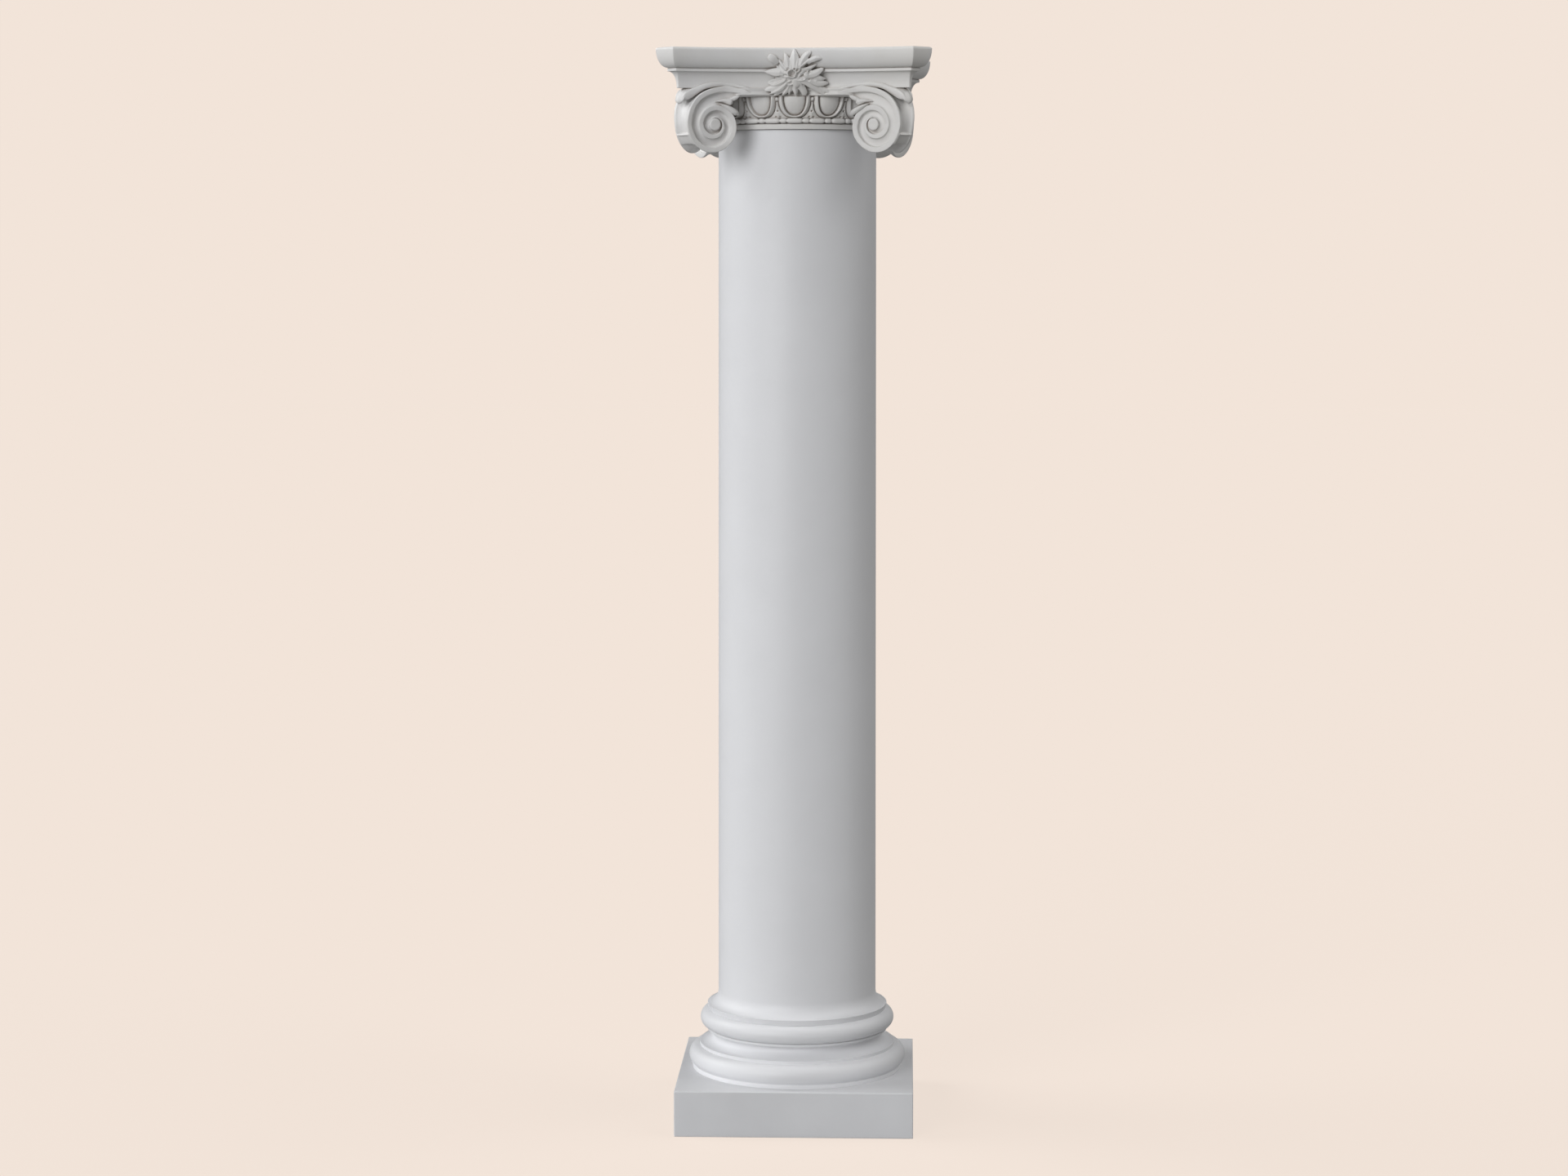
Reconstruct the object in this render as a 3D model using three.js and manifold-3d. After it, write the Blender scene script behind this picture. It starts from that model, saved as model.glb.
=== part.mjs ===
// A round Ionic column with a diagonal capital, as cast in white plaster or stone.
// From the floor up it is a square plinth, an Attic base, a plain shaft and a carved capital, each one solid.
// The capital has a concave abacus with a flower on each side, four pairs of corner volutes, an egg-and-dart
// echinus and a bead-and-reel ring. Millimetres, +Z up, origin at the centre of the plinth's underside.
import * as THREE from "three";
import { mergeVertices } from "three/addons/utils/BufferGeometryUtils.js";
import Module from "manifold-3d";

// Overall sizes
const columnHeight = 2030;
const joint = 0.3; // the bed joint between two stacked pieces

// Plinth
const plinthWidth = 450;
const plinthHeight = 87;

// Attic base, from the plinth up
const seatRadius = 205; // the low fillet that the lower torus sits on
const seatHeight = 5.5;
const lowerTorusRadius = 209;
const lowerTorusHeight = 39;
const lowerFilletRadius = 188;
const lowerFilletHeight = 6;
const scotiaHeight = 24;
const scotiaDepth = 12; // how far the hollow goes in behind the upper fillet
const upperFilletRadius = 171.5;
const upperFilletHeight = 5.5;
const upperTorusRadius = 187;
const upperTorusHeight = 36;

// Shaft
const shaftRadius = 152;
const shaftTopRadius = 149;
const footRadius = 173.5; // the fillet at the foot of the shaft
const footHeight = 8;
const flareHeight = 27; // the curve from the foot into the shaft

// Capital, heights of its courses from its underside up
const neckHeight = 10;
const beadHeight = 10;
const echinusHeight = 40;
const canalHeight = 13; // the plain course between the eggs and the abacus
const abacusHeight = 73;

// Neck ring, beads and echinus
const neckRadius = 157;
const beadRadius = 163;
const beadSink = 5; // depth of the nick between two beads
const beadUnits = 24;
const beadHalfAngle = 5.3; // half of a long bead, in degrees
const beadEndAngle = 1.3; // rounding at a bead's end, in degrees
const echinusFootRadius = 161;
const echinusRimRadius = 173;
const eggUnits = 16;
const eggHalfWidth = 19.5;
const shellHalfWidth = 30;
const reliefDepth = 8;
const drumRadius = 150; // the core inside the eggs and beads
const canalSink = 1.5; // of the plain course behind the volutes' channels

// Abacus
const abacusSpan = 505; // between two opposite chamfer corners
const chamfer = 34.3; // what each corner loses along each side
const abacusEndSlope = 25; // how far a concave side turns at its end, in degrees
const abacusInset = 34; // from the top edge in to the lowest course
const abacusFilletInset = 17.5;
const abacusFilletHeight = 5;
const cavettoHeight = 30;
const ovoloInset = 9.5;
const topEdge = 2.6; // the rounding of the top edge

// Volutes
const faceRadius = 328; // the upright cylinder that a volute's channel lies on
const faceDepth = 145.4; // from the column's axis to that cylinder, on a side's centre line
const eyeAlong = 149; // from the side's centre line to the eye, along the face
const eyeHeight = 6; // the eye above the capital's underside
const eyeRadius = 11.5;
const eyeRelief = 10;
const voluteRadius = 67; // the outer edge of the band straight above the eye
const voluteLoss = 37; // what the radius loses in the first turn
const voluteEase = 5.1; // what that loss eases by in each turn squared
const armFlare = 330; // how the band opens out towards the echinus
const bandWidth = 9.5;
const bandRelief = 8;
const channelShare = 0.4; // where the channel is deepest, from the inner turn to the band
const rimWidth = 1.6; // the rounding outside the band
const leafWidth = 9; // the long leaf that lies on the band's top
const grooveDepth = 6; // of the roll between two rims
const strapDepth = 1; // of the strap that crosses that roll
const webHalfWidth = 30; // the mass that ties a corner to the drum
const webReach = 215;

// Leaf that hangs over the roll at each corner
const leafRoot = 262; // from the axis, out along the diagonal
const leafReach = 33;
const leafSpread = 15; // between the middle lobe and each side one
const leafTip = 44; // above the capital's underside

// Flower on each side of the abacus
const flowerHeight = 97; // its heart above the capital's underside
const flowerLow = 61; // its lowest tip
const flowerWidth = 118;
const flowerTall = 82;
const flowerHeart = 11;
const flowerMiddle = 197.5; // from the axis out to its back, at the foot of the abacus's ovolo
const flowerBack = 206; // the same at the top of the abacus
const outerPetals = 12;
const innerPetals = 6;
const innerReach = 27;
const petalNotch = 0.66; // how far out the petals part, as a share of their reach
const petalLift = 8;

// Courses of the capital, measured from its underside
const beadFoot = neckHeight;
const echinusFoot = beadFoot + beadHeight;
const echinusTop = echinusFoot + echinusHeight;
const abacusFoot = echinusTop + canalHeight;
const capitalHeight = abacusFoot + abacusHeight;
const capitalFoot = columnHeight - capitalHeight;
const lap = 1; // how far two fused courses run into each other

const wasm = await Module();
wasm.setup();

const degrees = THREE.MathUtils.degToRad;

// A closed three.js geometry as a solid for cutting and joining.
function solidOf(geometry) {
  const bare = geometry.clone();
  bare.deleteAttribute("normal");
  bare.deleteAttribute("uv");
  const merged = mergeVertices(bare, 1e-3);
  return new wasm.Manifold(
    new wasm.Mesh({
      numProp: 3,
      vertProperties: merged.attributes.position.array,
      triVerts: new Uint32Array(merged.index.array),
    }),
  );
}

// The solid's surface as a three.js geometry.
function geometryOf(solid) {
  const mesh = solid.getMesh();
  const geometry = new THREE.BufferGeometry();
  geometry.setAttribute("position", new THREE.BufferAttribute(mesh.vertProperties, 3));
  geometry.setIndex(new THREE.BufferAttribute(mesh.triVerts, 1));
  geometry.computeVertexNormals();
  return geometry;
}

// A geometry from a list of points and a list of triangles.
function geometryFrom(points, triangles) {
  const geometry = new THREE.BufferGeometry();
  geometry.setAttribute("position", new THREE.Float32BufferAttribute(points.flat(), 3));
  geometry.setIndex(triangles);
  return geometry;
}

// Rings of equal count, each running anticlockwise as seen from the last one, joined and closed at both ends.
function stackSolid(rings) {
  const count = rings[0].length;
  const points = rings.flat();
  const triangles = [];
  for (let level = 0; level + 1 < rings.length; level++) {
    for (let i = 0; i < count; i++) {
      const a = level * count + i;
      const b = level * count + ((i + 1) % count);
      triangles.push(a, b, b + count, a, b + count, a + count);
    }
  }
  const centre = (ring) => [0, 1, 2].map((axis) => ring.reduce((sum, p) => sum + p[axis], 0) / count);
  const foot = points.push(centre(rings[0])) - 1;
  const head = points.push(centre(rings.at(-1))) - 1;
  const last = (rings.length - 1) * count;
  for (let i = 0; i < count; i++) {
    const next = (i + 1) % count;
    triangles.push(foot, next, i);
    triangles.push(head, last + i, last + next);
  }
  return solidOf(geometryFrom(points, triangles));
}

function unite(solids) {
  return solids.reduce((all, solid) => all.add(solid));
}

// A ring of points at one height, where radiusAt(angle) gives the distance from the axis.
function ringAt(z, angles, radiusAt) {
  return angles.map((angle) => {
    const radius = radiusAt(angle);
    return [radius * Math.cos(angle), radius * Math.sin(angle), z];
  });
}

// Points of an arc in a profile, from one angle to another in degrees, both ends included.
function profileArc(centreRadius, centreZ, radius, heightRadius, from, to, steps) {
  const points = [];
  for (let i = 0; i <= steps; i++) {
    const angle = degrees(from + ((to - from) * i) / steps);
    points.push([centreRadius + radius * Math.cos(angle), centreZ + heightRadius * Math.sin(angle)]);
  }
  return points;
}

// A turned piece: profile points [radius, z] from the bottom up, closed on the axis.
function turned(profile, segments) {
  const outline = [[0, profile[0][1]], ...profile, [0, profile.at(-1)[1]]];
  return new THREE.LatheGeometry(
    outline.map(([radius, z]) => new THREE.Vector2(radius, z)),
    segments,
  ).rotateX(Math.PI / 2);
}

// Plinth
function plinthGeometry() {
  const height = plinthHeight - joint;
  return new THREE.BoxGeometry(plinthWidth, plinthWidth, height).translate(0, 0, height / 2);
}

// Attic base: seat fillet, lower torus, fillet, scotia, fillet, upper torus
const baseHeight =
  seatHeight + lowerTorusHeight + lowerFilletHeight + scotiaHeight + upperFilletHeight + upperTorusHeight;
const roundSegments = 32;

function torusProfile(outerRadius, foot, height) {
  const radius = height / 2;
  return profileArc(outerRadius - radius, foot + radius, radius, radius, -90, 90, 5);
}

function baseGeometry() {
  const lowerTorusFoot = plinthHeight + seatHeight;
  const lowerFilletFoot = lowerTorusFoot + lowerTorusHeight;
  const scotiaFoot = lowerFilletFoot + lowerFilletHeight;
  const upperFilletFoot = scotiaFoot + scotiaHeight;
  const upperTorusFoot = upperFilletFoot + upperFilletHeight;
  const hollowRadius = upperFilletRadius - scotiaDepth;
  const scotiaSplit = scotiaFoot + scotiaHeight * 0.62;
  return turned(
    [
      [seatRadius, plinthHeight],
      [seatRadius, lowerTorusFoot],
      ...torusProfile(lowerTorusRadius, lowerTorusFoot, lowerTorusHeight),
      [lowerFilletRadius, lowerFilletFoot],
      ...profileArc(lowerFilletRadius, scotiaSplit, lowerFilletRadius - hollowRadius, scotiaSplit - scotiaFoot, 270, 180, 3),
      ...profileArc(upperFilletRadius, scotiaSplit, scotiaDepth, upperFilletFoot - scotiaSplit, 180, 90, 2).slice(1),
      [upperFilletRadius, upperTorusFoot],
      ...torusProfile(upperTorusRadius, upperTorusFoot, upperTorusHeight - joint),
    ],
    roundSegments,
  );
}

// Shaft with its foot fillet and the flare above it
function shaftGeometry() {
  const foot = plinthHeight + baseHeight;
  const flareFoot = foot + footHeight;
  return turned(
    [
      [footRadius, foot],
      [footRadius, flareFoot],
      ...profileArc(footRadius, flareFoot + flareHeight, footRadius - shaftRadius, flareHeight, 262, 180, 4),
      [shaftTopRadius, capitalFoot - joint],
    ],
    roundSegments,
  );
}

// Capital: neck ring, and the drum that carries all of its carving
function drumSolid() {
  const profile = [
    [neckRadius, 0],
    [neckRadius, neckHeight],
    [drumRadius, neckHeight],
    [drumRadius, abacusFoot + lap],
  ];
  return solidOf(turned(profile, roundSegments));
}

// Bead and reel: the ring swells at each bead and sinks at each nick
function beadSolid() {
  const unit = 360 / beadUnits;
  const angles = [];
  const swells = [];
  for (let i = 0; i < beadUnits; i++) {
    const middle = i * unit;
    const full = beadHalfAngle - beadEndAngle;
    const columns = [
      [-beadHalfAngle, 0],
      [-full, 1],
      [full, 1],
      [beadHalfAngle, 0],
      [unit / 2, 0.85],
    ];
    for (const [offset, swell] of columns) {
      angles.push(degrees(middle + offset));
      swells.push(swell);
    }
  }
  const rings = [];
  const steps = 2;
  for (let i = 0; i <= steps; i++) {
    const share = i / steps;
    const bulge = Math.sin(Math.PI * (0.12 + 0.76 * share));
    const z = beadFoot + beadHeight * share;
    const radiusAt = (angle) => {
      const swell = swells[angles.indexOf(angle)];
      return beadRadius - beadSink + beadSink * swell * bulge;
    };
    rings.push(ringAt(z, angles, radiusAt));
  }
  return stackSolid(rings);
}

// How wide a U-shaped outline is at a share of the echinus's height, for a U that reaches down to lowest.
function halfWidthAt(share, widest, lowest) {
  const fall = Math.min(1, (1 - share) / (1 - lowest));
  return widest * Math.sqrt(1 - fall ** 2.4);
}

// Egg and dart: columns of points follow the egg's edge, its shell and the dart
function echinusSolid() {
  const unit = (2 * Math.PI) / eggUnits;
  const shares = [0, 0.1, 0.3, 0.62, 1];
  const least = 1; // keeps neighbouring columns apart where the outlines close
  const rings = shares.map((share) => {
    const swell = Math.sin((share * Math.PI) / 2);
    const face = echinusFootRadius + (echinusRimRadius - echinusFootRadius) * swell;
    const egg = Math.max(least, halfWidthAt(share, eggHalfWidth, 0.13));
    const shell = Math.max(3 * least, halfWidthAt(share, shellHalfWidth, 0));
    const ridge = (egg + shell) / 2;
    const half = (unit * face) / 2;
    const dome = share > 0.13 ? 1 : 0.3;
    const dart = 0.65 - 0.5 * share;
    const side = [
      [0.5 * egg, 0.05 + (1 - dome)],
      [egg, 1],
      [ridge, 0.1],
      [shell, 1],
    ];
    const columns = [...side.map(([along, sink]) => [-along, sink]).reverse(), ...side, [half, dart]];
    const ring = [];
    for (let i = 0; i < eggUnits; i++) {
      for (const [along, sink] of columns) {
        const angle = i * unit + along / face;
        const radius = face - reliefDepth * sink;
        ring.push([radius * Math.cos(angle), radius * Math.sin(angle), echinusFoot + echinusHeight * share]);
      }
    }
    return ring;
  });
  return stackSolid(rings);
}

// A point on a volute's face: along the face from the side's centre line, up, and out by its relief.
// The side looks along -Y; along is positive towards +X.
function facePoint(along, z, relief) {
  const turn = along / faceRadius;
  const reach = faceRadius - relief;
  return [reach * Math.sin(turn), -(faceDepth + faceRadius - reach * Math.cos(turn)), z];
}

// The plain course under the abacus, which the channels of the volutes run into
function canalSolid() {
  const reach = eyeAlong;
  const steps = 8;
  const ring = [];
  for (let side = 0; side < 4; side++) {
    for (let i = 0; i <= steps; i++) {
      const [x, y] = facePoint(-reach + (2 * reach * i) / steps, 0, -canalSink);
      ring.push(new THREE.Vector3(x, y, 0).applyAxisAngle(new THREE.Vector3(0, 0, 1), (side * Math.PI) / 2).toArray());
    }
  }
  const level = (z) => ring.map(([x, y]) => [x, y, z]);
  return stackSolid([level(echinusTop - lap), level(abacusFoot + lap)]);
}

// Abacus: the plan at an inset from the top edge is four concave arcs joined by chamfers
function abacusRing(inset, z) {
  const half = abacusSpan / 2;
  const corner = half - chamfer;
  const slope = degrees(abacusEndSlope);
  const arcRadius = corner / Math.sin(slope);
  const arcCentre = half + arcRadius * Math.cos(slope);
  const radius = arcRadius + inset;
  const line = corner + half - inset * Math.SQRT2 - arcCentre;
  const end = (line + Math.sqrt(2 * radius ** 2 - line ** 2)) / 2;
  const turn = Math.asin(end / radius);
  const steps = 5;
  const ring = [];
  for (let side = 0; side < 4; side++) {
    const face = (side * Math.PI) / 2;
    for (let i = 0; i <= steps; i++) {
      const angle = -turn + (2 * turn * i) / steps;
      const x = radius * Math.sin(angle);
      const y = -(arcCentre - radius * Math.cos(angle));
      ring.push([x * Math.cos(face) - y * Math.sin(face), x * Math.sin(face) + y * Math.cos(face), z]);
    }
  }
  return ring;
}

function abacusSolid() {
  const filletFoot = abacusFoot + cavettoHeight;
  const ovoloFoot = filletFoot + abacusFilletHeight;
  const top = abacusFoot + abacusHeight;
  const hollow = abacusInset - abacusFilletInset - 2;
  const profile = [[abacusInset, abacusFoot]];
  for (let i = 0; i <= 3; i++) {
    const angle = degrees(i * 30);
    profile.push([abacusInset - hollow * (1 - Math.cos(angle)), abacusFoot + 3 + (cavettoHeight - 3) * Math.sin(angle)]);
  }
  profile.push([abacusFilletInset, filletFoot + 0.5]);
  profile.push([abacusFilletInset, ovoloFoot]);
  for (let i = 0; i <= 3; i++) {
    const share = i / 3;
    profile.push([ovoloInset * (1 - share) ** 1.8, ovoloFoot + 2 + (top - ovoloFoot - 2 - topEdge) * share]);
  }
  profile.push([topEdge, top]);
  return stackSolid(profile.map(([inset, z]) => abacusRing(inset, z)));
}

// The volute's spiral: the outer radius of its band after some turns, counted from straight above the eye
const turnSteps = 12;
const armTurns = -0.14; // where the band leaves the echinus
const spiralTurns = 2.25; // from there to where the band dies into the eye

function bandRadius(turns) {
  const left = armTurns + spiralTurns - turns;
  if (left <= 0) return eyeRadius;
  const plain = voluteRadius - voluteLoss * turns + voluteEase * turns ** 2;
  const flare = armFlare * Math.max(0, 0.05 - turns) ** 2;
  return Math.max(eyeRadius + 2.5 * Math.min(1, 4 * left), plain + flare);
}

// One corner: the spirals of two neighbouring sides, closed round their rims by the grooved roll between them
function voluteSolid() {
  const points = [];
  const triangles = [];
  const put = (point) => points.push(point) - 1;
  const eyeZ = eyeHeight;
  const at = (turns, radius, relief) => {
    const angle = (turns + 0.25) * 2 * Math.PI;
    return facePoint(eyeAlong - radius * Math.cos(angle), eyeZ + radius * Math.sin(angle), relief);
  };
  const mirrored = ([x, y, z]) => [-y, -x, z];
  const steps = Math.round(spiralTurns * turnSteps);
  const leafAt = (turns) => rimWidth + leafWidth * Math.exp(-((Math.max(0, turns - 0.02) / 0.1) ** 2));

  // Rails from the outside in: the band's outer edge, its inner edge and the channel's deepest line
  const face = (place, flip) => {
    const rails = [];
    for (let i = 0; i <= steps; i++) {
      const turns = armTurns + i / turnSteps;
      const outer = bandRadius(turns);
      const inner = bandRadius(turns + 1);
      const room = outer - inner;
      const band = Math.min(bandWidth, 0.5 * room);
      rails.push({
        outer: put(place(at(turns, outer, bandRelief))),
        edge: put(place(at(turns, outer - band, bandRelief))),
        floor: put(place(at(turns, inner + channelShare * (room - band), 0))),
      });
    }
    const eye = [];
    for (let i = 0; i < turnSteps; i++) eye.push(put(place(at(armTurns + i / turnSteps, eyeRadius, eyeRelief))));
    const inwards = (i) => (i + turnSteps <= steps ? rails[i + turnSteps].outer : eye[i % turnSteps]);
    const triangle = (a, b, c) => (flip ? triangles.push(a, c, b) : triangles.push(a, b, c));
    const quad = (a, b, c, d) => {
      triangle(a, b, c);
      triangle(a, c, d);
    };
    for (let i = 0; i < steps; i++) {
      const rail = rails[i];
      const next = rails[i + 1];
      quad(rail.outer, rail.edge, next.edge, next.outer);
      quad(rail.edge, rail.floor, next.floor, next.edge);
      quad(rail.floor, inwards(i), inwards(i + 1), next.floor);
    }
    // The band's end closes on the eye.
    const end = rails[steps];
    triangle(end.outer, end.edge, end.floor);
    triangle(end.outer, end.floor, inwards(steps));
    triangle(end.outer, inwards(steps), eye[(steps + 1) % turnSteps]);
    const heart = put(place(at(0, 0, eyeRelief)));
    for (let i = 0; i < turnSteps; i++) triangle(eye[i], heart, eye[(i + 1) % turnSteps]);

    // The outline runs once round the band and back along its first cross-section.
    const outline = [];
    for (let i = 0; i < turnSteps; i++) {
      const turns = armTurns + i / turnSteps;
      const rim = put(place(at(turns, bandRadius(turns) + leafAt(turns), bandRelief / 2)));
      outline.push({ rim, face: rails[i].outer, turns, radius: bandRadius(turns) + leafAt(turns) });
    }
    const start = rails[0];
    return { outline, back: [rails[turnSteps].outer, start.floor, start.edge], quad, triangle };
  };
  const front = face((p) => p, false);
  const side = face(mirrored, true);

  // The roll: the rim of each face, and the groove half-way between them
  const count = front.outline.length;
  const groove = front.outline.map(({ turns, radius }) => {
    const strap = turns > 0.3 && turns < 0.37;
    const sunk = radius - (strap ? strapDepth : grooveDepth);
    const a = at(turns, sunk, bandRelief / 2);
    const b = mirrored(a);
    return put([0, 1, 2].map((axis) => (a[axis] + b[axis]) / 2));
  });
  for (let i = 0; i + 1 < count; i++) {
    const here = front.outline[i];
    const next = front.outline[i + 1];
    front.quad(here.rim, here.face, next.face, next.rim);
    front.quad(groove[i], here.rim, next.rim, groove[i + 1]);
    const there = side.outline[i];
    const after = side.outline[i + 1];
    side.quad(there.rim, there.face, after.face, after.rim);
    side.quad(groove[i], there.rim, after.rim, groove[i + 1]);
  }
  // The outline's last step ends on the next turn's band, and the first cross-section leads back.
  const close = (half) => {
    const tail = half.outline[count - 1];
    const head = half.outline[0];
    const [join, floor, edge] = half.back;
    half.triangle(tail.rim, tail.face, join);
    half.triangle(groove[count - 1], tail.rim, join);
    return [join, floor, edge, head.face, head.rim];
  };
  const frontChain = close(front);
  const sideChain = close(side);
  triangles.push(groove[count - 1], frontChain[0], sideChain[0]);
  for (let i = 0; i + 1 < frontChain.length; i++) {
    front.quad(frontChain[i], frontChain[i + 1], sideChain[i + 1], sideChain[i]);
  }
  triangles.push(frontChain.at(-1), groove[0], sideChain.at(-1));
  return solidOf(geometryFrom(points, triangles));
}

// A point in the upright plane through a corner: out from the axis, across it, and up.
function cornerPoint(out, across, z) {
  return [(out + across) / Math.SQRT2, (across - out) / Math.SQRT2, z];
}

// The block that ties a corner's volutes to the drum
function webSolid() {
  const ring = (z) => [
    cornerPoint(0, -webHalfWidth, z),
    cornerPoint(webReach, -webHalfWidth, z),
    cornerPoint(webReach, webHalfWidth, z),
    cornerPoint(0, webHalfWidth, z),
  ];
  return stackSolid([ring(echinusFoot), ring(abacusFoot + lap)]);
}

// The leaf that hangs from under the abacus over the roll: a middle lobe and one over each rim
function cornerLeafSolids() {
  return [-1, 0, 1].map((side) => {
    const across = side * leafSpread;
    const tip = side === 0 ? leafTip : leafTip + 8;
    const spine = [
      [leafRoot, abacusFoot + lap, 9],
      [leafRoot + 0.6 * leafReach, abacusFoot - 6, 9.5],
      [leafRoot + leafReach, (abacusFoot + tip) / 2 - 2, 8.5],
      [leafRoot + 0.9 * leafReach, tip, 4],
    ];
    const rings = spine.map(([out, z, half]) => [
      cornerPoint(out - 16, across - half, z),
      cornerPoint(out - 16, across + half, z),
      cornerPoint(out - 3, across + half, z),
      cornerPoint(out, across, z),
      cornerPoint(out - 3, across - half, z),
    ]);
    return stackSolid(rings);
  });
}

// One ring of petals as a star: each petal is a ridge from the heart to its tip, with a notch on either side.
// place(along, angle, out) gives a point of the flower.
function starSolid(petals, place, reachAt, lift) {
  const count = 2 * petals;
  const rows = [
    { tip: 0.6, notch: 0.6, tipOut: -28, notchOut: -28 },
    { tip: 1, notch: petalNotch, tipOut: 0.3 * lift, notchOut: 0 },
    { tip: 0.62, notch: 0.5 * petalNotch, tipOut: lift, notchOut: 0.2 * lift },
    { tip: 0.15, notch: 0.15, tipOut: 0.8 * lift, notchOut: 0.6 * lift },
  ];
  const rings = rows.map((row) =>
    Array.from({ length: count }, (_, i) => {
      const angle = Math.PI / 2 + (2 * Math.PI * i) / count;
      const [share, out] = i % 2 === 0 ? [row.tip, row.tipOut] : [row.notch, row.notchOut];
      return place(share * reachAt(angle), angle, out);
    }),
  );
  return stackSolid(rings);
}

// The flower: long petals round an oval, short ones over them and a boss at its heart
function flowerSolid() {
  // It lies back against the eggs' tops, the abacus's fillet and its top edge in turn.
  const ovoloFoot = abacusFoot + cavettoHeight + abacusFilletHeight;
  const bed = (z) => {
    const [foot, head] = z < ovoloFoot ? [echinusTop, ovoloFoot] : [ovoloFoot, capitalHeight];
    const [near, far] = z < ovoloFoot ? [echinusRimRadius, flowerMiddle] : [flowerMiddle, flowerBack];
    return near + ((far - near) * (z - foot)) / (head - foot);
  };
  const place = (along, angle, out) => {
    const z = flowerHeight + along * Math.sin(angle);
    return [along * Math.cos(angle), -(bed(z) + out), z];
  };
  const ovalReach = (angle) => {
    const rise = Math.sin(angle) < 0 ? flowerHeight - flowerLow : flowerLow + flowerTall - flowerHeight;
    return 1 / Math.hypot(Math.cos(angle) / (flowerWidth / 2), Math.sin(angle) / rise);
  };
  const bossRing = (radius, out) =>
    Array.from({ length: 8 }, (_, i) => place(radius, degrees(45 * i), out));
  return unite([
    starSolid(outerPetals, place, ovalReach, petalLift),
    starSolid(innerPetals, place, () => innerReach, 1.9 * petalLift),
    stackSolid([bossRing(flowerHeart, 0), bossRing(0.8 * flowerHeart, 2.6 * petalLift)]),
  ]);
}

function capitalGeometry() {
  const side = unite([voluteSolid(), webSolid(), ...cornerLeafSolids(), flowerSolid()]);
  const sides = [0, 90, 180, 270].map((turn) => side.rotate([0, 0, turn]));
  const whole = unite([drumSolid(), beadSolid(), echinusSolid(), canalSolid(), abacusSolid(), ...sides]);
  return geometryOf(whole.translate([0, 0, capitalFoot]));
}

// Materials
const plaster = (color, roughness) => new THREE.MeshStandardMaterial({ color, roughness, metalness: 0 });

const column = new THREE.Group();
column.name = "ionic_column";

function addPiece(name, geometry, material) {
  const piece = new THREE.Mesh(geometry, material);
  piece.name = name;
  column.add(piece);
}

addPiece("plinth", plinthGeometry(), plaster(0xdcdddf, 0.62));
addPiece("base", baseGeometry(), plaster(0xdfe0e2, 0.6));
addPiece("shaft", shaftGeometry(), plaster(0xe0e1e3, 0.6));
addPiece("capital", capitalGeometry(), plaster(0xe2e1df, 0.58));

export default column;
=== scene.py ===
import math

import bmesh
import bpy
import numpy as np
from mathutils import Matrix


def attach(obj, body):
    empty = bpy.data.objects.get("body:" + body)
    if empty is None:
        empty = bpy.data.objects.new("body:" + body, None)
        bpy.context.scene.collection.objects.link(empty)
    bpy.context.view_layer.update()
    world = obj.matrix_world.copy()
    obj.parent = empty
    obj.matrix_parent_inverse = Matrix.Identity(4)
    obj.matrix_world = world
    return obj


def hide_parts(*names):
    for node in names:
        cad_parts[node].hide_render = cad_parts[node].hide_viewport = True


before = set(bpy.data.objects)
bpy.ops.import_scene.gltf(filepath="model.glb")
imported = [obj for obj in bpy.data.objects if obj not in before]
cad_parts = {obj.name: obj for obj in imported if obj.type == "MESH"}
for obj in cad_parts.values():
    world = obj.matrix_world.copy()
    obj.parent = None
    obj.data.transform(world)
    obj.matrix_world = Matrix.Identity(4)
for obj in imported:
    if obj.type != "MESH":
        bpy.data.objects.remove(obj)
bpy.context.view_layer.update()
print("frame loaded")

mm = 0.001  # sizes and points below are in millimetres, and addPiece turns them into metres
capitalFoot = 1884.0  # the capital's underside above the floor
fullTurn = 2 * math.pi
photoWidth, photoHeight = 1920, 1440


def gridFaces(rows, columns, closed):
    # Quads between neighbouring rows of points; the last column meets the first where the rows are rings.
    low = (np.arange(rows - 1) * columns)[:, None]
    j = np.arange(columns if closed else columns - 1)[None, :]
    right = (j + 1) % columns
    quads = np.stack([low + j, low + right, low + columns + right, low + columns + j], -1)
    return quads.reshape(-1, 4)


def ringStack(grid):
    # Rings from the foot up, running anticlockwise seen from above, with a fan of triangles over each end.
    rows, columns = grid.shape[:2]
    points = np.vstack([grid.reshape(-1, 3), grid[0].mean(0), grid[-1].mean(0)])
    foot, head = rows * columns, rows * columns + 1
    j = np.arange(columns)
    right = (j + 1) % columns
    last = (rows - 1) * columns
    lower = np.stack([np.full(columns, foot), right, j], -1)
    upper = np.stack([np.full(columns, head), last + j, last + right], -1)
    return points, [gridFaces(rows, columns, True), lower, upper]


def joined(parts):
    # Several meshes as one list of points and one list of faces.
    points, faces, first = [], [], 0
    for partPoints, partFaces in parts:
        points.append(partPoints)
        faces += [face + first for face in partFaces]
        first += len(partPoints)
    return np.vstack(points), faces


def turned(part, quarterTurns):
    # The same mesh turned about the column's axis: x cos a - y sin a, x sin a + y cos a, with a in right angles.
    points, faces = part
    angle = quarterTurns * math.pi / 2
    c, s = math.cos(angle), math.sin(angle)
    return points @ np.array([[c, s, 0], [-s, c, 0], [0, 0, 1]]), faces


def fourSided(side):
    # Columns of points along one side, repeated at each right angle round the axis and read as rings.
    sides = [turned((side, None), turn)[0] for turn in range(4)]
    return ringStack(np.concatenate(sides).transpose(1, 0, 2))


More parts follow.
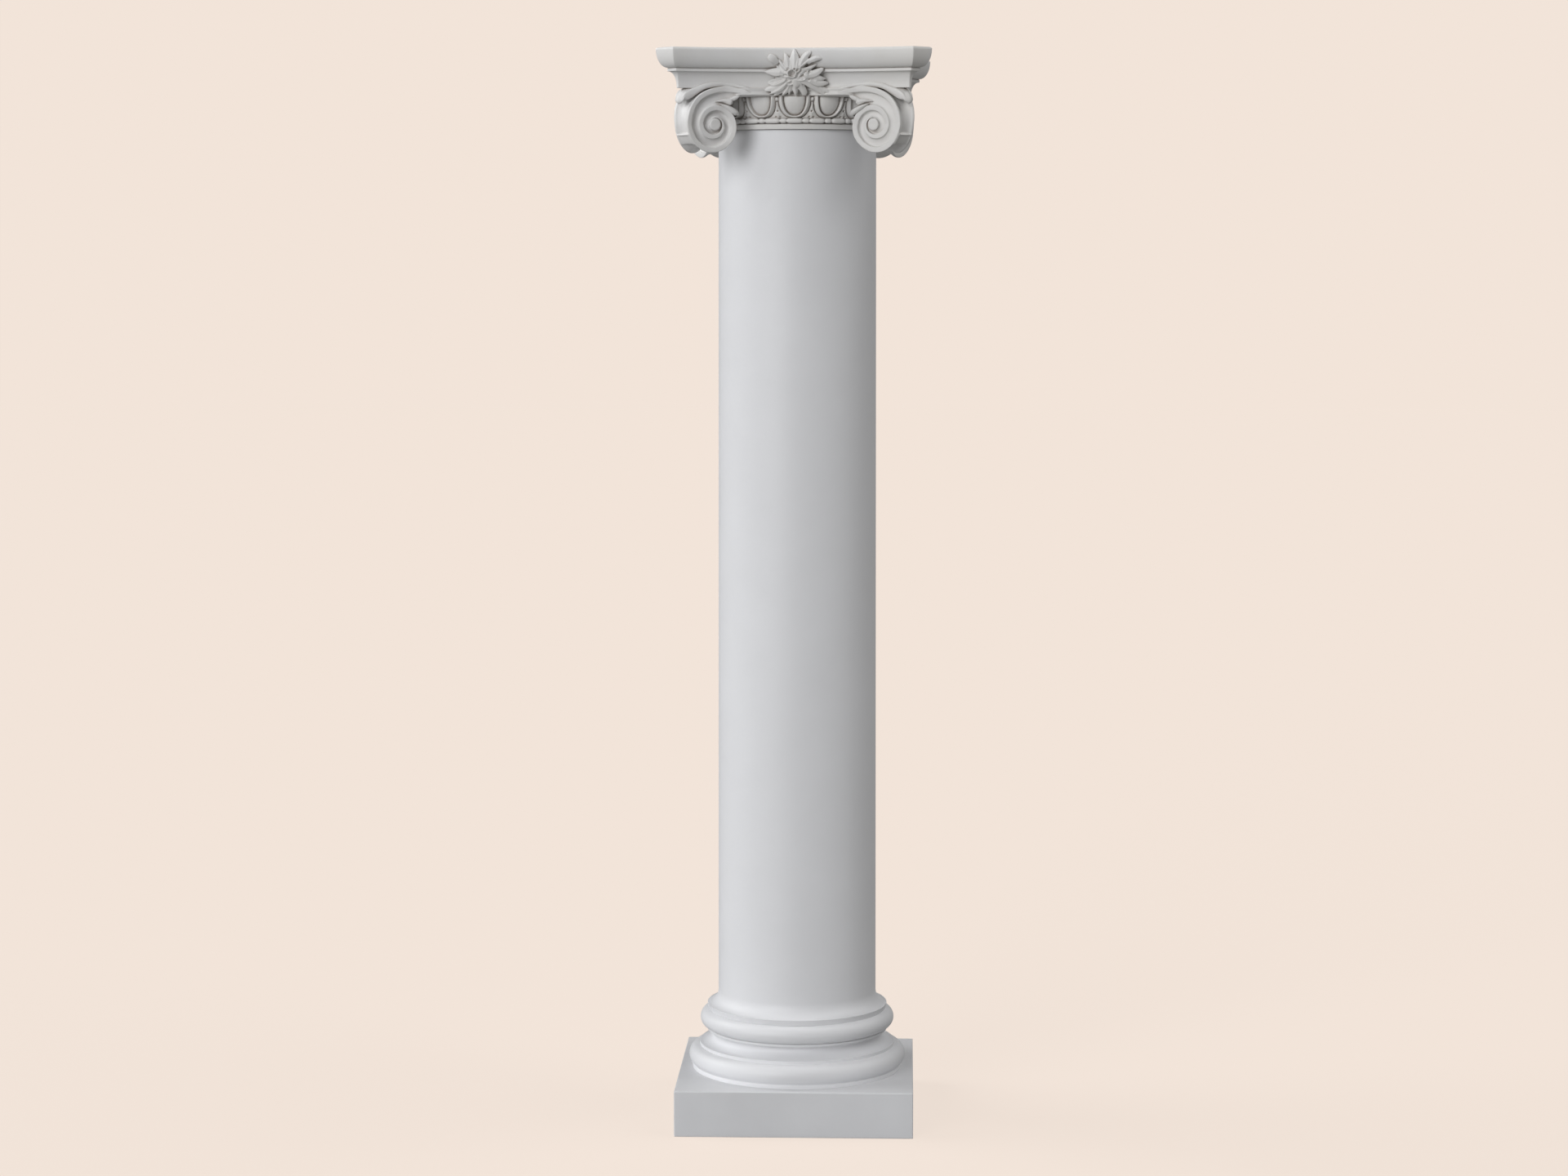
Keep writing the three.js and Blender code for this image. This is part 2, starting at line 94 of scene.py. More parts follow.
def addPiece(name, part, node, material, weld=False):
    # A smooth mesh in metres that rides on the root and stands for a node. Welding merges points 2 micrometres
    # apart and turns the faces outwards.
    points, faces = part
    mesh = bpy.data.meshes.new(name)
    mesh.from_pydata((points * mm).tolist(), [], [face for block in faces for face in block.tolist()])
    if weld:
        solid = bmesh.new()
        solid.from_mesh(mesh)
        bmesh.ops.remove_doubles(solid, verts=solid.verts, dist=2e-6)
        bmesh.ops.dissolve_degenerate(solid, edges=solid.edges, dist=1e-7)
        bmesh.ops.recalc_face_normals(solid, faces=solid.faces)
        solid.to_mesh(mesh)
        solid.free()
    mesh.validate()
    mesh.shade_smooth()
    mesh.materials.append(material)
    piece = bpy.data.objects.new(name, mesh)
    bpy.context.scene.collection.objects.link(piece)
    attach(piece, "root")
    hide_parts(node)


def softProfile(corners, curveSteps=5, longest=12.0, margin=1.5):
    # Corners are rows of two coordinates and a rounding. Each corner becomes a parabola between the points that
    # lie the rounding's length along its two sides. A long straight gets points a margin from each end, and more
    # between them about the longest step apart.
    spots = np.array([corner[:2] for corner in corners], float)
    rounding = [corner[2] if len(corner) > 2 else 0.0 for corner in corners]
    line = [spots[0]]
    for i in range(1, len(spots) - 1):
        before, here, after = spots[i - 1], spots[i], spots[i + 1]
        reachIn, reachOut = np.linalg.norm(before - here), np.linalg.norm(after - here)
        cut = min(rounding[i], 0.48 * reachIn, 0.48 * reachOut)
        if cut <= 0:
            line.append(here)
            continue
        start = here + (before - here) / reachIn * cut
        end = here + (after - here) / reachOut * cut
        t = np.linspace(0, 1, curveSteps + 1)[:, None]
        line += list((1 - t) ** 2 * start + 2 * t * (1 - t) * here + t ** 2 * end)
    line.append(spots[-1])
    filled = [line[0]]
    for point in line[1:]:
        gap = np.linalg.norm(point - filled[-1])
        if gap > 3 * margin:
            step = (point - filled[-1]) / gap
            inside = gap - 2 * margin
            count = max(1, round(inside / longest))
            middle = np.linspace(0, 1, count + 1)[:, None] * inside + margin
            filled += list(filled[-1] + step * middle)
        filled.append(point)
    return np.array(filled)


def arcPoints(centreR, centreZ, radiusR, radiusZ, start, end, steps):
    # An elliptical arc between two angles in degrees: centre + radii times their cosine and sine.
    angle = np.radians(np.linspace(start, end, steps + 1))
    return np.stack([centreR + radiusR * np.cos(angle), centreZ + radiusZ * np.sin(angle)], -1).tolist()


def lathe(profile, segments):
    # Each profile point goes round the axis at its own radius and height.
    angle = np.arange(segments) * fullTurn / segments
    radius, height = profile[:, 0:1], profile[:, 1:2]
    grid = np.stack([radius * np.cos(angle), radius * np.sin(angle), height + 0 * angle], -1)
    return ringStack(grid)


def smoothStep(low, high, value):
    # 0 as far as low and 1 from high on, with 3 t squared - 2 t cubed between them; either may be the larger.
    t = np.clip((value - low) / (high - low), 0, 1)
    return t * t * (3 - 2 * t)


plasterLook = {
    "tone": (0.772, 0.776, 0.796),
    # A darker copy of the plaster for the plinth, as painted shade: shares of the plain tone and of the mottle's low
    # tone
    "plinthShadeShare": (0.93, 0.9),
    "capitalTone": (0.775, 0.771, 0.772),
    "warmTone": (0.74, 0.725, 0.70),
    "roughness": (0.42, 0.52),
    "specular": 0.42,
    "mottle": 0.035,
    # Painted shade in creases and hollows: its tone, how far the search for shelter reaches in metres, and how
    # strongly the cool, plinth and capital plaster take it
    "creviceShadeTone": (0.46, 0.42, 0.385),
    "crevice": 0.008,
    "creviceShadeStrength": (0.1, 0.35, 1.0),
    "unevenness": 0.0012,
    "grain": 0.00025,
}


def castPlaster(name, tone, warm, creviceShadeStrength):
    # White cast plaster: clouds of faint tone, painted shade that darkens and warms the colour where the surface is
    # sheltered, softly worn gloss, and a fine grain over a faint unevenness.
    material = bpy.data.materials.new(name)
    material.use_nodes = True
    nodes, links = material.node_tree.nodes, material.node_tree.links
    shader = nodes["Principled BSDF"]
    shader.inputs["Specular IOR Level"].default_value = plasterLook["specular"]
    coordinates = nodes.new("ShaderNodeTexCoord")

    def noise(scale, detail, roughness):
        # Noise fixed to the piece
        node = nodes.new("ShaderNodeTexNoise")
        node.inputs["Scale"].default_value = scale
        node.inputs["Detail"].default_value = detail
        node.inputs["Roughness"].default_value = roughness
        links.new(coordinates.outputs["Object"], node.inputs["Vector"])
        return node.outputs["Fac"]

    def carried(value, before, after=(0.0, 1.0)):
        # One range of values laid onto another in a straight line
        node = nodes.new("ShaderNodeMapRange")
        for socket, number in zip(("From Min", "From Max", "To Min", "To Max"), before + after):
            node.inputs[socket].default_value = number
        links.new(value, node.inputs["Value"])
        return node.outputs["Result"]

    def toneMix(share, low):
        # The low tone where the share is 0, and what is linked to B where it is 1
        node = nodes.new("ShaderNodeMix")
        node.data_type = "RGBA"
        node.inputs["A"].default_value = (*low, 1)
        links.new(share, node.inputs["Factor"])
        return node

    def bump(height, strength, distance):
        # A relief of this many metres
        node = nodes.new("ShaderNodeBump")
        node.inputs["Strength"].default_value = strength
        node.inputs["Distance"].default_value = distance
        links.new(height, node.inputs["Height"])
        return node

    clouds = noise(7.0, 5.0, 0.55)
    specks = noise(60.0, 6.0, 0.6)
    pores = noise(900.0, 3.0, 0.5)

    mottled = toneMix(carried(clouds, (0.3, 0.7)), [(1 - plasterLook["mottle"]) * v for v in warm])
    mottled.inputs["B"].default_value = (*tone, 1)
    # Painted shade: where ambient occlusion finds the surface sheltered, the base colour goes darker and warmer
    shelter = nodes.new("ShaderNodeAmbientOcclusion")
    shelter.samples = 8
    shelter.inputs["Distance"].default_value = plasterLook["crevice"]
    creviceShadeColour = [creviceShadeStrength * d + (1 - creviceShadeStrength) * t for d, t in zip(plasterLook["creviceShadeTone"], tone)]
    creviceShaded = toneMix(carried(shelter.outputs["AO"], (0.15, 0.8)), creviceShadeColour)
    links.new(mottled.outputs["Result"], creviceShaded.inputs["B"])
    links.new(creviceShaded.outputs["Result"], shader.inputs["Base Color"])

    links.new(carried(specks, (0.35, 0.65), plasterLook["roughness"]), shader.inputs["Roughness"])

    uneven = bump(specks, 0.25, plasterLook["unevenness"])
    grainy = bump(pores, 0.2, plasterLook["grain"])
    links.new(uneven.outputs["Normal"], grainy.inputs["Normal"])
    links.new(grainy.outputs["Normal"], shader.inputs["Normal"])
    return material


plainTone = plasterLook["tone"]
# Painted shade: the plinth's plaster is a darker copy of the same plaster
plinthShadedTones = [[share * v for v in plainTone] for share in plasterLook["plinthShadeShare"]]
# How strongly each plaster has shade painted into its creases and hollows
coolCreviceShade, plinthCreviceShade, capitalCreviceShade = plasterLook["creviceShadeStrength"]
coolPlaster = castPlaster("plasterCool", plainTone, plainTone, coolCreviceShade)
shadedPlinthPlaster = castPlaster("plasterPlinth", *plinthShadedTones, plinthCreviceShade)
capitalPlaster = castPlaster("plasterCapital", plasterLook["capitalTone"], plasterLook["warmTone"], capitalCreviceShade)
print("plaster ready")


plinth = {"half": 225.0, "height": 86.7, "edge": 1.6, "footEdge": 1.2, "corner": 2.2, "inner": 150.0}


def plinthBlock():
    # Squares with rounded corners, from the underside's middle out, up the sides and in over the top.
    inner, outer, top = plinth["inner"], plinth["half"], plinth["height"]
    profile = softProfile([(inner, 0), (outer, 0, plinth["footEdge"]), (outer, top, plinth["edge"]), (inner, top)])
    along = np.linspace(-1, 1, 22)[:, None]
    bend = np.radians(np.linspace(-45, 45, 7))[1:-1, None] + math.pi / 4
    half, height = profile.T[:, None]
    corner = np.minimum(plinth["corner"], half)
    x = np.vstack([along * (half - corner), half - corner + corner * np.sin(bend)])
    y = np.vstack([-half + 0 * along, -(half - corner + corner * np.cos(bend))])
    return fourSided(np.stack(np.broadcast_arrays(x, y, height), -1))


addPiece("plinthBlock", plinthBlock(), "plinth", shadedPlinthPlaster)
print("plinth built")


base = {
    "foot": 86.6,
    "inner": 120.0,
    "seat": (202.0, 5.4),
    "lowerTorus": (209.0, 39.0),
    "lowerFillet": (188.0, 6.0),
    "scotia": (24.0, 12.0),
    "scotiaSplit": 0.62,
    "upperFillet": (174.0, 5.0),
    "upperTorus": (187.0, 35.7),
    "segments": 288,
}


def torusPoints(outer, foot, height, start, end, steps):
    # Part of a half round as high as the torus, which reaches out to the outer radius.
    half = height / 2
    return arcPoints(outer - half, foot + half, half, half, start, end, steps)


def baseMouldings():
    # The outline from the foot up: seat, torus, fillet, scotia of two quarter ellipses, fillet, torus.
    z = base["foot"]
    seat, height = base["seat"]
    corners = [(base["inner"], z), (seat, z, 0.6), (seat, z + height, 0.5)]
    z += height
    outer, height = base["lowerTorus"]
    corners += torusPoints(outer, z, height, -57, 84, 24)
    z += height
    lower, height = base["lowerFillet"]
    corners += [(lower, z + 0.2, 0.3), (lower, z + height, 0.7)]
    z += height
    height, depth = base["scotia"]
    upper, upperHeight = base["upperFillet"]
    split = z + base["scotiaSplit"] * height
    lip = lower - 1.2
    corners += arcPoints(lip, split, lip - (upper - depth), split - z, 268, 182, 16)
    corners += arcPoints(upper, split, depth, z + height - split - 0.5, 176, 96, 10)
    z += height
    corners += [(upper - 0.4, z, 1.0), (upper, z + upperHeight - 0.6, 1.2), (upper - 3, z + upperHeight, 0.3)]
    z += upperHeight
    outer, height = base["upperTorus"]
    corners += torusPoints(outer, z, height, -84, 88, 26)
    corners += [(base["inner"], z + height)]
    return lathe(softProfile(corners), base["segments"])


addPiece("baseMouldings", baseMouldings(), "base", coolPlaster)
print("base built")


shaft = {
    "foot": 201.6,
    "inner": 100.0,
    "radius": 152.0,
    "topRadius": 149.0,
    "fillet": (173.5, 10.6),
    "undercut": 2.4,
    "flare": 26.0,
    "head": 1883.7,
    "segments": 288,
}


def columnShaft():
    # A low fillet that draws in at its foot, a quarter ellipse into the shaft, and the shaft's slow taper.
    z = shaft["foot"]
    fillet, height = shaft["fillet"]
    corners = [(shaft["inner"], z), (fillet - shaft["undercut"], z, 0.5), (fillet, z + height, 1.0)]
    z += height
    lip, flare = fillet - 0.4, shaft["flare"]
    corners += arcPoints(lip, z + flare, lip - shaft["radius"], flare, 266, 180, 20)
    corners += [(shaft["topRadius"], shaft["head"], 0.4), (shaft["inner"], shaft["head"])]
    return lathe(softProfile(corners, longest=90), shaft["segments"])


addPiece("columnShaft", columnShaft(), "shaft", coolPlaster)
print("shaft built")


abacus = {
    "foot": 73.0,
    "height": 73.0,
    "span": 505.0,
    "chamfer": 34.3,
    "slope": 25.0,
    "inset": 31.5,
    "filletInset": 17.5,
    "cavetto": 30.0,
    "fillet": 5.0,
    "edge": 2.6,
    "cornerRounding": 1.3,
}


def abacusProfile():
    # Rows of inset from the outer edge and height: the foot, a quarter-round hollow, a fillet, a quarter-round
    # swelling up to the edge, and a little of the top.
    foot = abacus["foot"] + capitalFoot
    filletFoot = foot + abacus["cavetto"]
    ovoloFoot = filletFoot + abacus["fillet"]
    top = foot + abacus["height"]
    inset, ledge = abacus["inset"], abacus["filletInset"]
    corners = [(inset + 3, foot), (inset, foot, 0.9)]
    turn = np.radians(np.linspace(0, 86, 18))
    hollow = inset - ledge - 1.6
    rise = abacus["cavetto"] - 3.4
    corners += np.stack([inset - hollow * (1 - np.cos(turn)), foot + 3 + rise * np.sin(turn)], -1).tolist()
    corners += [(ledge, filletFoot, 0.5), (ledge, ovoloFoot, 0.5), (ledge + 1.6, ovoloFoot + 0.4, 0.3)]
    turn = np.radians(np.linspace(4, 90, 20))
    ovoloFoot += 1.4
    rise = top - abacus["edge"] - ovoloFoot
    corners += np.stack([ledge * (1 - np.sin(turn)), ovoloFoot + rise * (1 - np.cos(turn))], -1).tolist()
    corners += [(abacus["edge"], top, 1.3), (abacus["edge"] + 14, top)]
    return softProfile(corners)


def abacusSlab():
    # At each inset the plan is four concave arcs joined by straight chamfers, with the corners softened.
    inset, height = abacusProfile().T
    half = abacus["span"] / 2
    corner = half - abacus["chamfer"]
    slope = math.radians(abacus["slope"])
    arcRadius = corner / math.sin(slope)
    arcCentre = half + arcRadius * math.cos(slope)
    radius = arcRadius + inset
    line = corner + half - inset * math.sqrt(2) - arcCentre
    end = (line + np.sqrt(2 * radius ** 2 - line ** 2)) / 2
    turn = np.arcsin(end / radius)
    cut = abacus["cornerRounding"]
    share = np.linspace(-1, 1, 61)[:, None]
    angle = share * (turn - cut / radius)
    arc = np.stack([radius * np.sin(angle), radius * np.cos(angle) - arcCentre], -1)
    tip = np.stack([radius * np.sin(turn), radius * np.cos(turn) - arcCentre], -1)
    after = tip + cut / math.sqrt(2)
    t = np.linspace(0, 1, 6)[1:, None, None]
    bendIn = (1 - t) ** 2 * arc[-1] + 2 * t * (1 - t) * tip + t ** 2 * after
    bendOut = -bendIn[::-1, :, ::-1]
    middle = np.linspace(0, 1, 8)[1:-1, None, None]
    straight = bendIn[-1] * (1 - middle) + bendOut[0] * middle
    side = np.concatenate([arc, bendIn, straight, bendOut[:-1]])
    return fourSided(np.dstack([side, np.broadcast_to(height, side.shape[:2])]))


addPiece("abacus", abacusSlab(), "capital", capitalPlaster, weld=True)
print("abacus built")


core = {"neck": (157.0, 9.6), "radius": 151.0, "head": 61.0, "inner": 100.0, "segments": 256}


def neckAndCore():
    # The neck's fillet, and above it the drum that the carving stands on.
    neck, height = core["neck"]
    radius, inner = core["radius"], core["inner"]
    ledge, head = capitalFoot + height, capitalFoot + core["head"]
    corners = [
        (inner, capitalFoot),
        (neck - 0.6, capitalFoot, 0.9),
        (neck + 0.6, ledge, 1.2),
        (radius, ledge + 0.6, 0.3),
        (radius, head),
        (inner, head),
    ]
    return lathe(softProfile(corners), core["segments"])


beads = {
    "units": 24,
    "long": (14.0, 4.7),
    "short": (5.9, 4.3),
    "nick": 2.8,
    "ring": 159.8,
    "height": 15.3,
    "square": 2.7,
    "columns": 48,
    "section": 20,
}


def beadRing():
    # A ring whose squared section swells over each long bead and each short reel and pinches between them.
    columns = beads["units"] * beads["columns"]
    angle = np.arange(columns) * fullTurn / columns
    pitch = fullTurn / beads["units"]
    along = ((angle + pitch / 2) % pitch - pitch / 2) * beads["ring"]
    halfPitch = pitch * beads["ring"] / 2
    reach, swell = beads["long"]
    longBead = swell * np.clip(1 - np.abs(along / reach) ** 5, 0, 1) ** 0.32
    reachShort, swellShort = beads["short"]
    shortBead = swellShort * np.clip(1 - (np.abs(np.abs(along) - halfPitch) / reachShort) ** 4, 0, 1) ** 0.36
    radius = np.maximum(beads["nick"], np.maximum(longBead, shortBead))[:, None]
    section = np.arange(beads["section"]) * fullTurn / beads["section"]
    power = beads["square"]
    squared = 1 / (np.abs(np.cos(section)) ** power + np.abs(np.sin(section)) ** power) ** (1 / power)
    out = beads["ring"] + radius * squared * np.cos(section)
    up = capitalFoot + beads["height"] + radius * squared * np.sin(section)
    grid = np.stack([out * np.cos(angle)[:, None], out * np.sin(angle)[:, None], up], -1)
    grid = np.concatenate([grid, grid[:1]])
    return grid[:, ::-1].reshape(-1, 3), [gridFaces(columns + 1, beads["section"], True)]


addPiece("neckRing", neckAndCore(), "capital", capitalPlaster)
addPiece("beadAndReel", beadRing(), "capital", capitalPlaster, weld=True)
print("neck and beads built")


eggs = {
    "units": 16,
    "foot": 20.0,
    "height": 41.6,
    "footRadius": 161.0,
    "rimRadius": 173.5,
    "roundness": 2.3,
    "egg": (21.0, 34.6),
    "shellInner": (22.4, 36.2),
    "shellOuter": (31.6, 41.2),
    "relief": 10.0,
    "eggTop": 1.6,
    "eggRise": (1.5, 8.6),
    "shellRise": (2.0, 8.2),
    "dartRise": 6.4,
    "groove": -0.5,
    "ground": -2.0,
    "pit": (0.0, 27.5, 6.0),
    "lowPit": (4.2, 38.6, 4.0),
    "bridge": (3.6, 9.4, 8.6),
    "columns": 74,
    "rows": 76,
}


def uCurve(along, drop, size):
    # Under one inside a U-shaped outline of this half width and depth, one on it, and over one outside.
    power = eggs["roundness"]
    return (np.abs(along) / size[0]) ** power + (np.maximum(drop, 0) / size[1]) ** power


def eggRelief(along, drop, halfUnit):
    # How far the carving stands out: egg, groove, shell, then the dart between two shells under a short bridge.
    inEgg = uCurve(along, drop, eggs["egg"])
    inner = uCurve(along, drop, eggs["shellInner"])
    outer = uCurve(along, drop, eggs["shellOuter"])
    rim, swell = eggs["eggRise"]
    egg = rim + swell * np.clip(1 - inEgg, 0, 1) ** 0.4
    egg = np.where(drop < eggs["eggTop"], np.minimum(egg, 4.0), egg)
    rim, swell = eggs["shellRise"]
    shellShare = np.clip((inner - 1) / np.maximum((inner - 1) + (1 - outer), 1e-6), 0, 1)
    shell = rim + swell * np.sin(math.pi * shellShare ** 0.8) ** 0.5
    onShell = (inner > 1) & (outer < 1)
    aside = halfUnit - np.abs(along)
    shellHalf, shellDepth = eggs["shellOuter"]
    power = eggs["roundness"]
    shellEdge = shellHalf * np.clip(1 - (drop / shellDepth) ** power, 0, 1) ** (1 / power)
    slope = aside / np.maximum(halfUnit - shellEdge - 1.0, 1.2)
    dart = np.where(slope < 1, eggs["dartRise"] - 2.6 * slope - 1.2 * slope ** 6, eggs["ground"])
    for (place, level, depth), width in ((eggs["pit"], 2.4), (eggs["lowPit"], 2.6)):
        dart = dart - depth * np.exp(-((aside - place) ** 2 + (drop - level) ** 2) / width)
    head, foot, rise = eggs["bridge"]
    onBridge = (drop < foot) & (drop > head - 1.0 + 0.12 * aside ** 2)
    bridge = rise - 1.6 * smoothStep(foot - 2.5, foot, drop)
    dart = np.where(onBridge, bridge, np.where(drop < foot + 1.2, eggs["ground"], dart))
    return np.where(inEgg < 1, egg, np.where(onShell, shell, np.where(outer >= 1, dart, eggs["groove"])))


def eggBand():
    # A cup-shaped ring whose radius at each angle and height is a quarter round plus the carving's relief.
    columns = eggs["units"] * eggs["columns"]
    angle = np.arange(columns) * fullTurn / columns
    pitch = fullTurn / eggs["units"]
    drop = np.concatenate([[-0.2, 0.15, 0.5], np.linspace(1.0, eggs["height"], eggs["rows"])])[::-1][:, None]
    share = np.clip(1 - drop / eggs["height"], 0, 1)
    face = eggs["footRadius"] + (eggs["rimRadius"] - eggs["footRadius"]) * np.sin(share * math.pi / 2)
    along = (((angle + pitch / 2) % pitch) - pitch / 2)[None, :] * face
    halfUnit = pitch * face / 2
    relief = eggRelief(along, np.maximum(drop - 1.0, 0) + 0 * along, halfUnit)
    softTop = 1.4 * (1 - smoothStep(-0.3, 1.6, drop))
    radius = face - eggs["relief"] + relief - softTop
    up = capitalFoot + eggs["foot"] + eggs["height"] - drop + 0 * radius
    grid = np.stack([radius * np.cos(angle), radius * np.sin(angle), up], -1)
    lid = grid[-1:] * np.array([0.955, 0.955, 1])
    seat = grid[:1] * np.array([0.97, 0.97, 1])
    return ringStack(np.concatenate([seat, grid, lid]))


addPiece("eggAndDart", eggBand(), "capital", capitalPlaster)
print("egg and dart built")


volute = {
    "faceRadius": 328.0,
    "faceDepth": 146.5,
    "eyeAlong": 155.0,
    "eyeHeight": 7.5,
    "eyeRadius": 11.0,
    "eyeRings": [
        (0.6, 3.0), (0.3, 7.2), (0.1, 9.0), (-0.2, 9.8), (-0.9, 10.4), (-2.2, 10.7), (-5.0, 10.8), (-8.0, 10.8),
    ],
    "start": -0.17,
    "end": 2.12,
    "turnAt": [
        -0.174, -0.159, -0.105, -0.056, 0, 0.125, 0.25, 0.375, 0.5, 0.625, 0.75, 0.875, 1, 1.125, 1.25, 1.5, 1.75,
        2, 2.12,
    ],
    "radiusAt": [
        113, 101, 81.8, 72.7, 67, 62.9, 58.8, 55.2, 51.2, 46, 41.6, 37.8, 35, 34, 33.4, 26, 19, 12.6, 11.2,
    ],
    "stepsPerTurn": 96,
    "fineRows": [(0.291, 0.314, 0.0025), (0.358, 0.378, 0.003), (-0.165, 0.1, 0.0035)],
    "band": 9.8,
    "bandAcross": [0.0, 0.03, 0.09, 0.2, 0.5, 0.8, 0.91, 0.97, 1.0],
    "bandLift": [0.0, 0.45, 0.78, 0.9, 0.85, 0.9, 0.78, 0.4, -0.4],
    "channelAcross": [0.02, 0.05, 0.1, 0.18, 0.28, 0.4, 0.52, 0.64, 0.75, 0.85, 0.92, 0.96, 0.985, 1.0],
    "armFoot": 62.0,
    "openBehind": (8.0, 90.0),
    "drop": 6.5,
    "rise": 3.2,
    "lean": 0.12,
    "forward": 12.5,
    "strap": (0.298, 0.37),
    "groove": 6.0,
    "edge": 7.2,
}


def facePoint(along, height, relief):
    # The face is an upright hollow cylinder that leans out above the eye, and comes forward between the
    # volutes. Along is the distance on it from the side's middle, and relief is how far a point stands out.
    turn = along / volute["faceRadius"]
    lean = volute["lean"] * np.maximum(0, height - volute["eyeHeight"])
    forward = volute["forward"] * smoothStep(140, 80, np.abs(along))
    reach = volute["faceRadius"] - relief - lean - forward
    x = reach * np.sin(turn)
    y = reach * np.cos(turn) - volute["faceDepth"] - volute["faceRadius"]
    return np.stack(np.broadcast_arrays(x, y, height + capitalFoot), -1)


def spiralPoint(turns, radius, relief):
    # A point this far from the eye. Turns start above the eye and run out to the corner, down and back.
    angle = (turns + 0.25) * fullTurn
    along = volute["eyeAlong"] - radius * np.cos(angle)
    return facePoint(along, volute["eyeHeight"] + radius * np.sin(angle), relief)


def throughPoints(x, knots, values):
    # A smooth curve through the listed points: cubic pieces whose slope at each point comes from its neighbours.
    knots, values = np.array(knots, float), np.array(values, float)
    slopes = np.gradient(values, knots)
    x = np.clip(x, knots[0], knots[-1])
    k = np.clip(np.searchsorted(knots, x, side="right") - 1, 0, len(knots) - 2)
    gap = knots[k + 1] - knots[k]
    t = (x - knots[k]) / gap
    rise = (3 - 2 * t) * t * t
    return (
        values[k] * (1 - rise)
        + values[k + 1] * rise
        + gap * t * (1 - t) * ((1 - t) * slopes[k] - t * slopes[k + 1])
    )


def bandRadius(turns):
    # The outer edge of the band, from the end of the arm above the eggs in to the eye.
    return throughPoints(turns, volute["turnAt"], volute["radiusAt"])


def mirrorCorner(points):
    # The same points mirrored in the upright plane through the corner: x becomes -y, and y becomes -x.
    return points[..., [1, 0, 2]] * np.array([-1, -1, 1])


def sheet(grid):
    # An open grid of points as a mesh.
    rows, columns = grid.shape[:2]
    return grid.reshape(-1, 3), [gridFaces(rows, columns, False)]


def voluteFace():
    # Columns from the band's outer edge across the band, down into the channel and up to the next turn's edge.
    perTurn, start, end = volute["stepsPerTurn"], volute["start"], volute["end"]
    turns = [start + np.arange(2 * perTurn + 1) / perTurn, np.linspace(start + 2, end, 24)]
    turns += [np.arange(*span) for span in volute["fineRows"]]
    turns = np.unique(np.concatenate(turns).round(5))[:, None]
    angle = (turns + 0.25) * fullTurn
    outer = bandRadius(turns)
    nextTurn = bandRadius(np.minimum(turns + 1, end))
    inner = np.where(turns + 1 > end, volute["eyeRadius"], nextTurn)
    room = np.maximum(outer - inner, 0)
    band = np.minimum(volute["band"], 0.52 * room)
    # Above the eggs the band's lower edge stays level
    armFoot = volute["armFoot"] - volute["eyeHeight"]
    level = armFoot / np.sin(np.clip(turns + 0.25, 0.05, 0.25) * fullTurn)
    band = np.where(turns < -0.05, np.clip(outer - level, 0.6, band), band)
    fade = np.clip(room / 6.0, 0, 1)
    lift = np.array(volute["bandLift"])
    bandPlace = outer - band * np.array(volute["bandAcross"])
    bandRelief = volute["edge"] + lift * fade - 4.5 * smoothStep(start + 0.05, start, turns)
    share = np.array(volute["channelAcross"])[None, :]
    hollow = volute["drop"] * (1 - share) + volute["rise"] * share
    hollow = hollow * np.clip(room / 14, 0.1, 1) + 1.2 * np.sin(math.pi * share)
    bowl = np.clip(1 - np.abs(1 - 2 * share) ** 7, 0, 1) ** 0.5
    channelPlace = outer - band - (room - band) * share
    channelRelief = volute["edge"] - hollow * bowl
    place = np.concatenate([bandPlace, channelPlace], 1)
    relief = np.concatenate([bandRelief, channelRelief], 1)
    points = spiralPoint(turns, place, relief)
    # Towards the eggs the channel's floor falls straight back behind them
    beside, above = -channelPlace * np.cos(angle), channelPlace * np.sin(angle)
    brink = -27 - 17 * smoothStep(41, 52, above)
    fall = smoothStep(brink, brink - 9, beside) * (turns < 0.1) * smoothStep(0, 0.05, share) * (share < 1)
    points[:, bandPlace.shape[1]:, :2] += fall[..., None] * np.array(volute["openBehind"])
    return turns[:, 0], outer, points


def voluteEye():
    # The eye: rings about its axis from the channel up to a flat button with a soft edge, closed at both ends.
    turn = np.arange(volute["stepsPerTurn"]) / volute["stepsPerTurn"]
    rings = np.stack([spiralPoint(turn, volute["eyeRadius"] + out, rise) for out, rise in volute["eyeRings"]])
    top = spiralPoint(np.zeros(1), 0.0, volute["eyeRings"][-1][1])
    foot, heart = [np.broadcast_to(point, rings[:1].shape) for point in (rings[0].mean(0), top)]
    button = np.concatenate([foot, rings, heart])
    return sheet(np.concatenate([button, button[:, :1]], 1))


